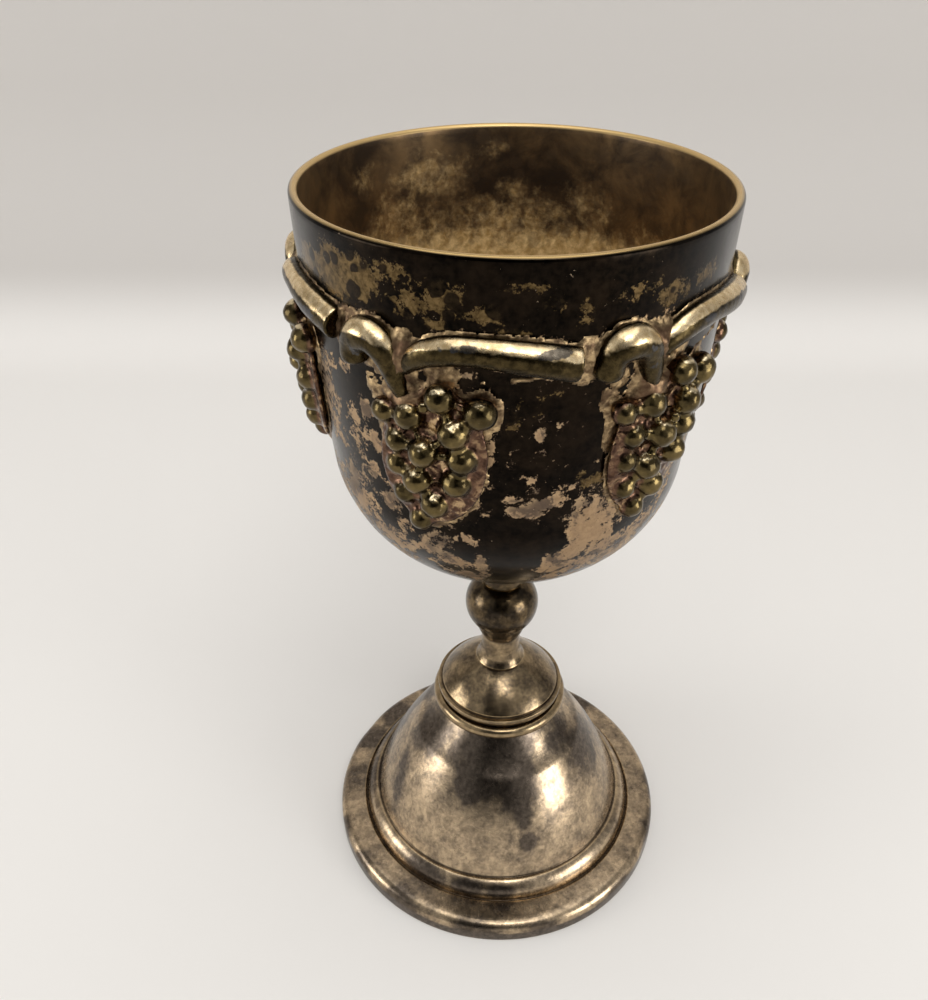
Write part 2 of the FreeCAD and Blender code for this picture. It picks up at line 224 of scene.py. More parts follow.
def cup_radius(height):
    """Outside radius of the cup at a height."""
    return np.interp(height, CUP_SIDE[:, 1], CUP_SIDE[:, 0])


# Marks in the plating ----------------------------------------------------------------
# Each mark is (angle, height in mm, half width in mm, half height in mm, lean in degrees,
# strength). The edge of a mark is broken up by the metal's own grain.

BARE_MARKS = [
    (22.5, 115.0, 5.6, 7.2, 0, 1.0), (15.0, 108.5, 4.6, 3.6, 25, 0.95), (29.5, 109.5, 4.2, 5.2, -25, 0.9),
    (20.0, 104.5, 6.5, 3.4, 0, 0.8), (33.0, 104.0, 5.0, 3.6, 0, 0.75), (8.0, 105.0, 2.6, 2.6, 0, 0.75),
    (2.5, 119.8, 3.6, 1.5, -8, 0.95), (8.5, 121.6, 4.0, 1.8, 14, 0.95), (-0.6, 122.6, 1.8, 0.9, 0, 0.8),
    (12.5, 124.2, 2.6, 1.3, 10, 0.8), (5.6, 124.6, 1.5, 0.9, 0, 0.75), (7.5, 117.2, 1.6, 1.4, 0, 0.6),
    (5.2, 135.6, 1.0, 1.5, 10, 0.9), (5.8, 132.6, 1.0, 0.9, 0, 0.8), (4.0, 126.9, 1.0, 0.8, 0, 0.85),
    (1.6, 127.6, 0.6, 0.6, 0, 0.7), (20.6, 129.2, 1.0, 0.5, 30, 0.7), (10.4, 137.4, 0.7, 0.5, 0, 0.65),
    (21.5, 139.2, 0.7, 1.6, 30, 0.75), (24.5, 136.0, 0.5, 2.2, 10, 0.75), (18.5, 133.0, 0.5, 0.4, 0, 0.7),
    (15.2, 136.2, 0.6, 0.5, 0, 0.6), (12.0, 129.0, 0.5, 0.4, 0, 0.6), (-2.0, 133.0, 0.4, 0.5, 0, 0.6),
    (-7.6, 133.4, 1.3, 1.3, -20, 1.0), (-8.4, 130.6, 1.7, 1.6, 10, 1.0), (-9.4, 126.8, 1.2, 2.6, 8, 1.0),
    (-11.5, 122.0, 1.2, 2.0, 15, 0.9), (-14.6, 118.6, 2.2, 1.2, 20, 0.85), (-7.8, 119.4, 1.2, 0.9, 0, 0.7),
    (-18.5, 106.5, 4.0, 2.6, 0, 0.85), (-22.0, 111.5, 3.2, 2.6, 0, 0.75), (-14.0, 112.6, 2.2, 1.9, -30, 0.8),
    (-9.0, 113.4, 1.7, 1.2, 0, 0.75), (-10.0, 108.0, 2.0, 2.2, 0, 0.75), (-28.0, 108.5, 3.6, 3.0, 0, 0.75),
    (-19.0, 115.6, 2.0, 0.9, 0, 0.7), (-7.5, 103.5, 2.4, 3.0, 0, 0.75), (-33.5, 112.5, 2.6, 2.4, 0, 0.8),
    (-42.5, 135.0, 1.7, 2.3, 15, 1.0), (-40.5, 129.0, 1.5, 2.6, 0, 1.0), (-43.0, 122.4, 1.7, 2.3, 0, 0.85),
    (-38.6, 117.0, 2.0, 2.6, 0, 0.85), (-52.0, 118.5, 4.0, 4.6, 0, 0.72), (-46.5, 127.5, 1.8, 3.5, 0, 0.6),
    (-60.0, 126.5, 5.0, 5.0, 10, 0.66), (-68.0, 112.0, 5.0, 6.0, 0, 0.7), (-47.0, 109.5, 4.0, 4.0, 0, 0.72),
    (-58.0, 105.0, 5.0, 4.5, 0, 0.7), (-72.0, 132.0, 4.0, 6.0, 0, 0.6), (-38.0, 103.0, 5.0, 3.0, 0, 0.7),
    (-57.0, 140.0, 3.0, 3.0, 0, 0.65), (-49.0, 141.5, 2.2, 1.5, 0, 0.7), (-14.0, 146.2, 5.0, 0.5, 4, 0.8),
    (44.5, 110.0, 4.2, 4.5, 0, 0.75), (38.5, 107.5, 2.6, 3.0, 0, 0.8), (58.0, 106.0, 5.0, 5.0, 0, 0.7),
    (62.0, 125.0, 3.0, 7.0, 0, 0.65), (29.5, 143.0, 1.5, 2.0, 0, 0.85), (-48.0, 129.0, 3.4, 7.0, 10, 0.7),
    (-54.0, 113.0, 6.5, 6.0, 0, 0.8), (-40.0, 107.0, 5.0, 3.6, 0, 0.85), (-62.0, 134.0, 5.0, 8.0, 0, 0.7),
    (-36.0, 120.0, 1.4, 6.0, 5, 0.75), (-30.0, 104.0, 6.0, 2.4, 0, 0.75), (-12.0, 101.0, 7.0, 2.4, 0, 0.75),
    (12.0, 100.0, 8.0, 2.4, 0, 0.7), (52.0, 118.0, 3.0, 6.0, 0, 0.7), (43.0, 102.0, 6.0, 3.0, 0, 0.8),
]
DARK_MARKS = [
    (-14.5, 117.2, 1.7, 1.1, 20, 1.0), (-8.0, 116.0, 1.4, 1.5, 0, 1.0), (33.2, 112.2, 1.1, 0.8, 0, 0.9),
    (31.8, 110.6, 0.5, 0.7, 0, 0.8), (-5.0, 113.0, 2.6, 4.0, 0, 1.0), (12.0, 113.0, 1.6, 3.2, 18, 0.7),
    (8.0, 113.0, 2.0, 3.4, 10, 0.9), (-14.6, 109.6, 1.5, 2.2, 15, 0.9), (-25.6, 116.0, 1.1, 2.0, 0, 0.7),
    (0.0, 102.0, 3.6, 6.0, 0, 0.8), (-53.0, 137.2, 1.8, 1.8, 0, 0.9), (-30.0, 103.5, 1.6, 2.0, 0, 0.6),
    (3.0, 109.0, 3.0, 4.0, 0, 0.8), (-53.0, 150.0, 2.0, 2.5, 0, 1.0),
]
FILM_MARKS = [
    (-49.0, 158.0, 5.0, 4.6, 0, 1.0), (-40.0, 158.5, 4.4, 4.2, 0, 0.92), (-60.0, 157.0, 5.0, 3.6, 0, 0.9),
    (-31.0, 161.0, 4.4, 2.2, 0, 0.72), (-26.0, 156.5, 4.4, 3.0, 0, 0.66), (-17.5, 158.0, 4.6, 3.6, -15, 0.7),
    (-9.0, 156.5, 4.0, 2.2, 0, 0.66), (-20.0, 153.8, 3.4, 1.0, 0, 0.66), (0.0, 160.4, 4.6, 1.3, 0, 0.64),
    (-2.0, 153.6, 3.6, 0.8, 0, 0.72), (6.0, 158.0, 2.6, 2.0, 0, 0.55), (13.5, 156.5, 2.6, 3.4, 0, 0.56),
    (27.0, 158.6, 5.0, 2.0, 8, 0.62), (37.0, 156.8, 5.0, 2.6, 0, 0.64), (48.0, 158.0, 5.0, 2.6, 0, 0.62),
    (21.0, 125.2, 3.4, 2.0, 0, 0.72), (17.0, 127.0, 1.6, 1.2, 0, 0.62), (25.6, 122.6, 2.2, 1.4, 0, 0.8),
    (0.0, 140.5, 4.4, 3.6, 0, 0.5), (-2.5, 137.0, 2.4, 3.0, 0, 0.5), (7.6, 143.0, 3.0, 1.5, 0, 0.5),
    (-58.0, 148.5, 4.0, 2.6, 0, 0.7), (-66.0, 140.0, 4.0, 4.0, 0, 0.5), (62.0, 150.0, 4.0, 4.0, 0, 0.55),
]
# On the foot: the marks from 17 to 37 mm up, strongest at the front, are partly tarnish and partly painted
# reflection of the dark cup and stem above; the marks low on the flange are tarnish.
FOOT_TARNISH_AND_REFLECTION_MARKS = [
    (-13.0, 32.0, 5.0, 4.5, 0, 1.0), (-20.0, 28.5, 3.4, 2.6, 0, 0.9), (10.0, 31.0, 4.0, 6.0, 0, 1.0),
    (12.0, 24.0, 2.0, 3.0, 10, 0.9), (14.0, 17.5, 1.8, 1.8, 0, 0.85), (0.0, 37.0, 9.0, 2.6, 0, 0.9),
    (-33.0, 35.0, 4.0, 3.6, 0, 0.6), (-70.0, 33.0, 6.0, 5.0, 0, 0.7), (74.0, 27.0, 7.0, 5.0, 0, 0.65),
    (58.0, 34.0, 5.0, 3.0, 0, 0.5), (-68.0, 20.0, 2.0, 6.0, 25, 0.6), (-34.0, 7.2, 6.0, 1.6, 0, 0.9),
    (-14.0, 7.2, 3.4, 1.5, 0, 0.85), (0.0, 7.0, 2.6, 1.4, 0, 0.8), (-72.0, 3.2, 2.4, 1.5, 0, 1.0),
    (-56.0, 3.2, 2.6, 1.5, 0, 1.0), (-36.0, 3.4, 4.4, 1.7, 0, 1.0), (-9.0, 3.2, 4.0, 1.6, 0, 1.0),
    (14.0, 3.4, 3.0, 1.2, 0, 0.85), (45.0, 3.0, 4.4, 1.2, 0, 0.8), (72.0, 3.2, 5.0, 1.4, 0, 0.9),
    (92.0, 3.0, 5.0, 1.6, 0, 0.8), (-92.0, 8.0, 6.0, 3.0, 0, 0.6),
]
GILT_MARKS = [
    (182.0, 144.0, 24.0, 7.0, 0, 1.0), (206.0, 155.5, 8.6, 5.0, 0, 0.92), (217.0, 148.0, 9.0, 6.0, 0, 0.92),
    (184.0, 160.4, 3.6, 2.2, 0, 0.85), (152.0, 149.0, 8.0, 5.4, 0, 0.8), (176.0, 152.0, 6.0, 2.6, 0, 0.7),
    (230.0, 158.0, 4.0, 3.0, 0, 0.7), (128.0, 140.0, 9.0, 6.0, 0, 0.62), (236.0, 139.0, 8.0, 6.0, 0, 0.7),
]


def scattered(seed, count, angles, heights, sizes, strengths):
    """Marks spread by chance over a part of the wall, for the sides that face away."""
    chance = np.random.default_rng(seed)
    return [(chance.uniform(*angles), chance.uniform(*heights), chance.uniform(*sizes),
             chance.uniform(*sizes), chance.uniform(-40, 40), chance.uniform(*strengths))
            for _ in range(count)]


def strength_of(marks, angle, height, radius=None):
    """Strongest mark at each point of a wall, the cup's if no radius is given.

    Angle is in degrees, height and radius in metres.
    """
    total = np.zeros_like(height)
    radius = (cup_radius(height) if radius is None else radius) / MM
    for at, level, half_width, half_height, lean, strength in marks:
        across = np.radians((angle - at + 180) % 360 - 180) * radius
        up = height / MM - level
        turn = math.radians(lean)
        wide = (across * math.cos(turn) + up * math.sin(turn)) / half_width
        tall = (up * math.cos(turn) - across * math.sin(turn)) / half_height
        inside = np.clip((1.75 - np.sqrt(wide ** 2 + tall ** 2)) / 1.5, 0, 1)
        total = np.maximum(total, strength * inside * inside * (3 - 2 * inside))
    return total


# Node building -----------------------------------------------------------------------

def put(tree, kind, sockets=(), **settings):
    """Adds a shader node. sockets maps a socket to a value or to the socket that feeds it."""
    item = tree.nodes.new("ShaderNode" + kind)
    for name, setting in settings.items():
        setattr(item, name, setting)
    for name, feed in dict(sockets).items():
        if isinstance(feed, bpy.types.NodeSocket):
            tree.links.new(feed, item.inputs[name])
        else:
            item.inputs[name].default_value = feed
    return item


def arithmetic(tree, operation, first, second):
    return put(tree, "Math", {0: first, 1: second}, operation=operation).outputs[0]


def sum_of(tree, first, second):
    return arithmetic(tree, "ADD", first, second)


def difference(tree, first, second):
    return arithmetic(tree, "SUBTRACT", first, second)


def product(tree, first, second):
    return arithmetic(tree, "MULTIPLY", first, second)


def between(tree, value, low, high):
    """0 at low, 1 at high, smooth between; low may be the greater."""
    item = put(tree, "MapRange", {"Value": value, "From Min": low, "From Max": high},
               interpolation_type="SMOOTHSTEP")
    return item.outputs["Result"]


def scaled(tree, value, low, high):
    """Carries 0 to 1 onto low to high."""
    item = put(tree, "MapRange", {"Value": value, "To Min": low, "To Max": high})
    return item.outputs["Result"]


def mixed(tree, share, first, second):
    item = put(tree, "Mix", {0: share, 6: first, 7: second}, data_type="RGBA")
    return item.outputs[2]


def grain(tree, scale, detail=6.0, roughness=0.6, distortion=0.0, place=None):
    """Noise through the metal; scale is in waves for each metre."""
    if place is None:
        place = put(tree, "TexCoord").outputs["Object"]
    item = put(tree, "TexNoise", {"Vector": place, "Scale": scale, "Detail": detail,
                                  "Roughness": roughness, "Distortion": distortion})
    return item.outputs["Fac"]


def value_on(tree, name):
    return put(tree, "Attribute", attribute_name=name).outputs["Fac"]


def new_group(name, inputs, outputs):
    tree = bpy.data.node_groups.new(name, "ShaderNodeTree")
    for label, default in inputs.items():
        socket = tree.interface.new_socket(name=label, in_out="INPUT", socket_type="NodeSocketFloat")
        socket.default_value = default
    for label in outputs:
        tree.interface.new_socket(name=label, in_out="OUTPUT", socket_type="NodeSocketFloat")
    return tree, tree.nodes.new("NodeGroupInput").outputs, tree.nodes.new("NodeGroupOutput")


def use(tree, group, **values):
    """Places a shared group; an underscore in a name stands for a space."""
    item = tree.nodes.new("ShaderNodeGroup")
    item.node_tree = group
    for name, feed in values.items():
        socket = item.inputs[name.replace("_", " ")]
        if isinstance(feed, bpy.types.NodeSocket):
            tree.links.new(feed, socket)
        else:
            socket.default_value = feed
    return item.outputs


def worn_through_group():
    """Where plating has gone. Guide raises the chance; the border breaks up along the grain."""
    tree, given, result = new_group(
        "worn_through", {"Guide": 0.0, "Scale": 500.0, "Ragged": 1.0, "Soft": 0.03},
        ["Bare", "Border"])
    coarse = grain(tree, given["Scale"], 5.0, 0.62, 0.5)
    fine = grain(tree, product(tree, given["Scale"], 4.3), 5.0, 0.66, 0.2)
    both = sum_of(tree, product(tree, coarse, 0.62), product(tree, fine, 0.38))
    swing = product(tree, difference(tree, both, 0.5), given["Ragged"])
    level = sum_of(tree, given["Guide"], swing)
    low = difference(tree, 0.5, given["Soft"])
    high = sum_of(tree, 0.5, given["Soft"])
    tree.links.new(between(tree, level, low, high), result.inputs["Bare"])
    outer = between(tree, level, difference(tree, low, 0.045), low)
    inner = between(tree, level, high, sum_of(tree, high, 0.045))
    tree.links.new(difference(tree, outer, inner), result.inputs["Border"])
    return tree


def mottled_group():
    """Cloudy tone of tarnish, 0 to 1."""
    tree, given, result = new_group(
        "mottled_tone", {"Scale": 200.0, "Low": 0.35, "High": 0.65}, ["Tone"])
    cloud = grain(tree, given["Scale"], 8.0, 0.62, 0.35)
    tree.links.new(between(tree, cloud, given["Low"], given["High"]), result.inputs["Tone"])
    return tree


def spots_group():
    """Round oxide spots of uneven size."""
    tree, given, result = new_group("oxide_spots", {"Scale": 400.0, "Size": 0.3}, ["Spots"])
    place = put(tree, "TexCoord").outputs["Object"]
    shake = put(tree, "TexNoise", {"Vector": place, "Scale": given["Scale"], "Detail": 3.0})
    offset = put(tree, "VectorMath", {0: shake.outputs["Color"], 3: 0.0012}, operation="SCALE")
    moved = put(tree, "VectorMath", {0: place, 1: offset.outputs[0]})
    cells = put(tree, "TexVoronoi", {"Vector": moved.outputs[0], "Scale": given["Scale"]})
    chance = put(tree, "SeparateColor", {0: cells.outputs["Color"]})
    reach = product(tree, chance.outputs[0], given["Size"])
    low = difference(tree, reach, 0.05)
    away = between(tree, cells.outputs["Distance"], low, sum_of(tree, reach, 0.05))
    tree.links.new(difference(tree, 1.0, away), result.inputs["Spots"])
    return tree


def flecks_group():
    """Tiny bright specks where the tarnish has been scuffed."""
    tree, given, result = new_group("scuffed_flecks", {"Scale": 1500.0, "Amount": 0.2}, ["Flecks"])
    fine = grain(tree, given["Scale"], 4.0, 0.7)
    patchy = grain(tree, product(tree, given["Scale"], 0.13), 3.0, 0.6)
    level = sum_of(tree, fine, product(tree, patchy, 0.35))
    edge = difference(tree, 0.98, product(tree, given["Amount"], 0.3))
    tree.links.new(between(tree, level, edge, sum_of(tree, edge, 0.03)), result.inputs["Flecks"])
    return tree


def handled_group():
    """Height of fine wear: turning lines round the axis, pores and rubbed waves."""
    tree, given, result = new_group(
        "handled_surface", {"Lines": 0.3, "Pores": 0.5}, ["Height", "Haze"])
    place = put(tree, "TexCoord").outputs["Object"]
    parts = put(tree, "SeparateXYZ", {0: place})
    flat = put(tree, "CombineXYZ", {0: product(tree, parts.outputs[0], 40.0),
                                    1: product(tree, parts.outputs[1], 40.0),
                                    2: product(tree, parts.outputs[2], 2600.0)})
    lines = grain(tree, 1.0, 3.0, 0.6, place=flat.outputs[0])
    pores = grain(tree, 1800.0, 4.0, 0.7)
    waves = grain(tree, 260.0, 3.0, 0.5)
    total = sum_of(tree, product(tree, lines, given["Lines"]), product(tree, pores, given["Pores"]))
    tree.links.new(sum_of(tree, total, waves), result.inputs["Height"])
    tree.links.new(grain(tree, 700.0, 6.0, 0.65), result.inputs["Haze"])
    return tree


def edge_wear_group():
    """Rubbed edges: follows the raised value, broken by the grain."""
    tree, given, result = new_group("edge_wear", {"Raised": 0.0, "Amount": 0.6}, ["Rubbed"])
    broken = sum_of(tree, product(tree, grain(tree, 420.0, 6.0, 0.65), 0.9), 0.15)
    level = product(tree, product(tree, given["Raised"], given["Amount"]), broken)
    tree.links.new(between(tree, level, 0.12, 0.42), result.inputs["Rubbed"])
    return tree


GROUPS = {
    "worn": worn_through_group(),
    "mottled": mottled_group(),
    "spots": spots_group(),
    "flecks": flecks_group(),
    "handled": handled_group(),
    "edge": edge_wear_group(),
}


def new_material(name):
    material = bpy.data.materials.new(name)
    material.use_nodes = True
    tree = material.node_tree
    return material, tree, tree.nodes["Principled BSDF"]


def feed_metal(tree, shader, colour, roughness, height, depth, metallic=1.0):
    """Feeds a metal's shader. depth is the bump's depth in millimetres."""
    tree.links.new(colour, shader.inputs["Base Color"])
    tree.links.new(roughness, shader.inputs["Roughness"])
    if isinstance(metallic, float):
        shader.inputs["Metallic"].default_value = metallic
    else:
        tree.links.new(metallic, shader.inputs["Metallic"])
    bump = put(tree, "Bump", {"Height": height, "Strength": 1.0, "Distance": depth * MM})
    tree.links.new(bump.outputs[0], shader.inputs["Normal"])


# Finishes ----------------------------------------------------------------------------

def cup_outside_finish():
    """Silver plate gone black, with gilt-brown film and patches worn to the brass."""
    material, tree, shader = new_material("black_tarnished_plate")
    bare = use(tree, GROUPS["worn"], Guide=value_on(tree, "bare"), Scale=430.0, Ragged=2.7, Soft=0.05)
    film = use(tree, GROUPS["worn"], Guide=value_on(tree, "film"), Scale=520.0, Ragged=1.7, Soft=0.05)
    slow = use(tree, GROUPS["mottled"], Scale=170.0, Low=0.38, High=0.66)["Tone"]
    quick = use(tree, GROUPS["mottled"], Scale=900.0, Low=0.3, High=0.7)["Tone"]
    spots = use(tree, GROUPS["spots"], Scale=330.0, Size=0.62)["Spots"]
    flecks = use(tree, GROUPS["flecks"], Scale=1500.0, Amount=0.3)["Flecks"]
    black = mixed(tree, slow, (0.003, 0.0026, 0.0022, 1), (0.011, 0.0075, 0.0048, 1))
    black = mixed(tree, product(tree, quick, 0.14), black, (0.055, 0.038, 0.024, 1))
    gold = mixed(tree, quick, (0.055, 0.036, 0.015, 1), (0.21, 0.14, 0.06, 1))
    filmed = product(tree, film["Bare"], difference(tree, 1.0, product(tree, spots, 0.92)))
    colour = mixed(tree, product(tree, filmed, 0.85), black, gold)
    tan = mixed(tree, slow, (0.30, 0.20, 0.115, 1), (0.20, 0.14, 0.098, 1))
    tan = mixed(tree, product(tree, quick, 0.6), tan, (0.50, 0.345, 0.20, 1))
    stain = use(tree, GROUPS["worn"], Guide=product(tree, slow, 0.9), Scale=800.0, Ragged=1.9, Soft=0.12)
    tan = mixed(tree, product(tree, stain["Bare"], 0.74), tan, (0.070, 0.052, 0.042, 1))
    rim = difference(tree, 1.0, between(tree, value_on(tree, "bare"), 0.35, 0.75))
    tan = mixed(tree, product(tree, rim, 0.45), tan, (0.66, 0.47, 0.27, 1))
    colour = mixed(tree, bare["Bare"], colour, tan)
    colour = mixed(tree, product(tree, bare["Border"], 0.55), colour, (0.035, 0.022, 0.016, 1))
    colour = mixed(tree, product(tree, flecks, 0.6), colour, (0.62, 0.47, 0.33, 1))
    colour = mixed(tree, value_on(tree, "lip"), colour, (0.80, 0.56, 0.25, 1))
    handled = use(tree, GROUPS["handled"], Lines=0.25, Pores=0.3)
    plain = scaled(tree, handled["Haze"], 0.10, 0.30)
    rough = put(tree, "Mix", {0: bare["Bare"], 2: plain, 3: scaled(tree, quick, 0.34, 0.5)}).outputs[0]
    step = product(tree, sum_of(tree, bare["Bare"], product(tree, filmed, 0.3)), -0.9)
    height = sum_of(tree, product(tree, handled["Height"], 0.5), step)
    feed_metal(tree, shader, colour, rough, height, 0.035)
    return material


def cup_inside_finish():
    """Gilt inside, browned in clouds, brightest low down."""
    material, tree, shader = new_material("browned_gilding")
    gilt = use(tree, GROUPS["worn"], Guide=value_on(tree, "gilt"), Scale=230.0, Ragged=1.5, Soft=0.34)
    slow = use(tree, GROUPS["mottled"], Scale=120.0, Low=0.35, High=0.7)["Tone"]
    quick = use(tree, GROUPS["mottled"], Scale=600.0, Low=0.3, High=0.72)["Tone"]
    spots = use(tree, GROUPS["spots"], Scale=260.0, Size=0.5)["Spots"]
    brown = mixed(tree, slow, (0.075, 0.052, 0.034, 1), (0.27, 0.175, 0.085, 1))
    gold = mixed(tree, quick, (0.50, 0.31, 0.11, 1), (0.98, 0.71, 0.34, 1))
    colour = mixed(tree, gilt["Bare"], brown, gold)
    colour = mixed(tree, product(tree, spots, 0.4), colour, (0.16, 0.11, 0.065, 1))
    colour = mixed(tree, value_on(tree, "lip"), colour, (0.66, 0.46, 0.20, 1))
    handled = use(tree, GROUPS["handled"], Lines=0.4, Pores=0.4)
    metal = scaled(tree, gilt["Bare"], 0.8, 0.1)
    rough = scaled(tree, handled["Haze"], 0.26, 0.48)
    feed_metal(tree, shader, colour, rough, handled["Height"], 0.02, metal)
    return material


def vine_finish():
    """Cast vine pale gold on its upper side, partly rubbed and partly a painted highlight, and olive below,
    kept dark there as painted shade; blue-black oxide left in patches.
    """
    material, tree, shader = new_material("rubbed_vine_silver")
    crest_and_highlight = value_on(tree, "crest_and_highlight")
    sunk = value_on(tree, "sunk")
    # Pale over olive by the crest value: rubbed metal and painted highlight on the upper side, painted shade
    # left dark below.
    worn = use(tree, GROUPS["worn"], Guide=crest_and_highlight, Scale=380.0, Ragged=0.9, Soft=0.2)
    oxide = use(tree, GROUPS["worn"], Guide=value_on(tree, "oxide"), Scale=560.0, Ragged=1.3, Soft=0.06)
    quick = use(tree, GROUPS["mottled"], Scale=800.0, Low=0.3, High=0.7)["Tone"]
    flecks = use(tree, GROUPS["flecks"], Scale=1100.0, Amount=0.2)["Flecks"]
    olive = mixed(tree, quick, (0.022, 0.016, 0.007, 1), (0.075, 0.054, 0.023, 1))
    pale = mixed(tree, quick, (0.62, 0.45, 0.23, 1), (0.98, 0.79, 0.50, 1))
    colour = mixed(tree, worn["Bare"], olive, pale)
    colour = mixed(tree, product(tree, oxide["Bare"], 0.85), colour, (0.07, 0.07, 0.075, 1))
    colour = mixed(tree, product(tree, flecks, 0.6), colour, (0.09, 0.065, 0.04, 1))
    colour = mixed(tree, between(tree, sunk, 0.15, 0.6), colour, (0.14, 0.075, 0.045, 1))
    handled = use(tree, GROUPS["handled"], Lines=0.1, Pores=0.6)
    rough = scaled(tree, handled["Haze"], 0.14, 0.40)
    feed_metal(tree, shader, colour, rough, handled["Height"], 0.04)
    return material


def grape_finish():
    """Cast grapes, amber and dark, bright where they stand out and face up: partly rubbed metal, partly a
    painted highlight from the lamps above.
    """
    material, tree, shader = new_material("amber_grape_silver")
    crest_and_highlight = value_on(tree, "crest_and_highlight")
    sunk = value_on(tree, "sunk")
    # Pale gold by the crest value: rubbed metal and painted highlight on the upper faces of the grapes.
    worn = use(tree, GROUPS["worn"], Guide=product(tree, crest_and_highlight, 0.66), Scale=620.0, Ragged=1.3, Soft=0.10)
    quick = use(tree, GROUPS["mottled"], Scale=700.0, Low=0.3, High=0.7)["Tone"]
    slow = use(tree, GROUPS["mottled"], Scale=240.0, Low=0.35, High=0.65)["Tone"]
    flecks = use(tree, GROUPS["flecks"], Scale=1300.0, Amount=0.3)["Flecks"]
    amber = mixed(tree, slow, (0.055, 0.041, 0.018, 1), (0.17, 0.125, 0.052, 1))
    amber = mixed(tree, product(tree, quick, 0.35), amber, (0.03, 0.022, 0.014, 1))
    colour = mixed(tree, worn["Bare"], amber, (0.82, 0.68, 0.44, 1))
    rust = mixed(tree, quick, (0.040, 0.022, 0.016, 1), (0.17, 0.095, 0.06, 1))
    colour = mixed(tree, between(tree, sunk, 0.10, 0.42), colour, rust)
    rise = value_on(tree, "rise")
    colour = mixed(tree, between(tree, rise, 2.0, 1.5), colour, rust)
    tan = mixed(tree, quick, (0.15, 0.095, 0.05, 1), (0.55, 0.385, 0.21, 1))
    edge = product(tree, between(tree, rise, 1.5, 0.8), between(tree, quick, 0.5, 0.95))
    colour = mixed(tree, edge, colour, tan)
    colour = mixed(tree, product(tree, flecks, 0.6), colour, (0.80, 0.62, 0.42, 1))
    handled = use(tree, GROUPS["handled"], Lines=0.0, Pores=0.6)
    plain = scaled(tree, handled["Haze"], 0.13, 0.30)
    rough = put(tree, "Mix", {0: between(tree, sunk, 0.1, 0.5), 2: plain, 3: 0.5}).outputs[0]
    feed_metal(tree, shader, colour, rough, handled["Height"], 0.035)
    return material


def solder_finish():
    """Soft solder in a rough tan seam, rust red where it is thick."""
    material, tree, shader = new_material("tan_solder")
    thick = value_on(tree, "rise")
    quick = use(tree, GROUPS["mottled"], Scale=1100.0, Low=0.3, High=0.7)["Tone"]
    slow = use(tree, GROUPS["mottled"], Scale=350.0, Low=0.35, High=0.65)["Tone"]
    tan = mixed(tree, quick, (0.16, 0.105, 0.055, 1), (0.66, 0.48, 0.26, 1))
    tan = mixed(tree, product(tree, slow, 0.9), tan, (0.055, 0.032, 0.020, 1))
    colour = mixed(tree, product(tree, between(tree, thick, 0.4, 1.0), 0.7), tan, (0.13, 0.075, 0.045, 1))
    handled = use(tree, GROUPS["handled"], Lines=0.0, Pores=1.0)
    feed_metal(tree, shader, colour, scaled(tree, handled["Haze"], 0.24, 0.5), handled["Height"], 0.06)
    return material


def turned_plate_finish(name, dark, tan, guide, scale, haze):
    """Tarnished plate of a turned piece: tan cloud over dark, black in the grooves, darker where the dark
    value is set, which on the foot is partly painted reflection.
    """
    material, tree, shader = new_material(name)
    cloud = grain(tree, scale * 0.5, 4.0, 0.55)
    level = sum_of(tree, product(tree, cloud, 0.5), guide - 0.25)
    # The dark value lowers the tan; on the foot its marks high on the front are partly painted reflection of
    # the cup and stem above.
    level = difference(tree, level, product(tree, value_on(tree, "dark"), 0.75))
    worn = use(tree, GROUPS["worn"], Guide=level, Scale=scale, Ragged=1.3, Soft=0.34)
    quick = use(tree, GROUPS["mottled"], Scale=scale * 3.0, Low=0.28, High=0.72)["Tone"]
    spots = use(tree, GROUPS["spots"], Scale=scale * 0.9, Size=0.55)["Spots"]
    flecks = use(tree, GROUPS["flecks"], Scale=1300.0, Amount=0.2)["Flecks"]
    dark_tone = mixed(tree, quick, dark + (1,), tuple(2.4 * part for part in dark) + (1,))
    tan_tone = mixed(tree, quick, tuple(0.62 * part for part in tan) + (1,), tan + (1,))
    colour = mixed(tree, worn["Bare"], dark_tone, tan_tone)
    colour = mixed(tree, product(tree, spots, 0.22), colour, dark + (1,))
    rubbed = use(tree, GROUPS["edge"], Raised=value_on(tree, "raised"), Amount=0.9)["Rubbed"]
    colour = mixed(tree, product(tree, rubbed, 0.3), colour, (0.56, 0.41, 0.22, 1))
    colour = mixed(tree, product(tree, flecks, 0.4), colour, (0.70, 0.56, 0.40, 1))
    grime = product(tree, between(tree, value_on(tree, "sunk"), 0.1, 0.6), 0.8)
    colour = mixed(tree, grime, colour, (0.034, 0.022, 0.014, 1))
    handled = use(tree, GROUPS["handled"], Lines=0.35, Pores=0.35)
    feed_metal(tree, shader, colour, scaled(tree, handled["Haze"], *haze), handled["Height"], 0.03)
    return material


def brass_finish(name, bright, dull):
    """Bare brass browned by handling."""
    material, tree, shader = new_material(name)
    slow = use(tree, GROUPS["mottled"], Scale=400.0, Low=0.3, High=0.7)["Tone"]
    spots = use(tree, GROUPS["spots"], Scale=600.0, Size=0.4)["Spots"]
    colour = mixed(tree, slow, dull, bright)
    colour = mixed(tree, product(tree, spots, 0.6), colour, (0.10, 0.065, 0.03, 1))
    handled = use(tree, GROUPS["handled"], Lines=0.8, Pores=0.5)
    feed_metal(tree, shader, colour, scaled(tree, handled["Haze"], 0.25, 0.5), handled["Height"], 0.03)
    return material


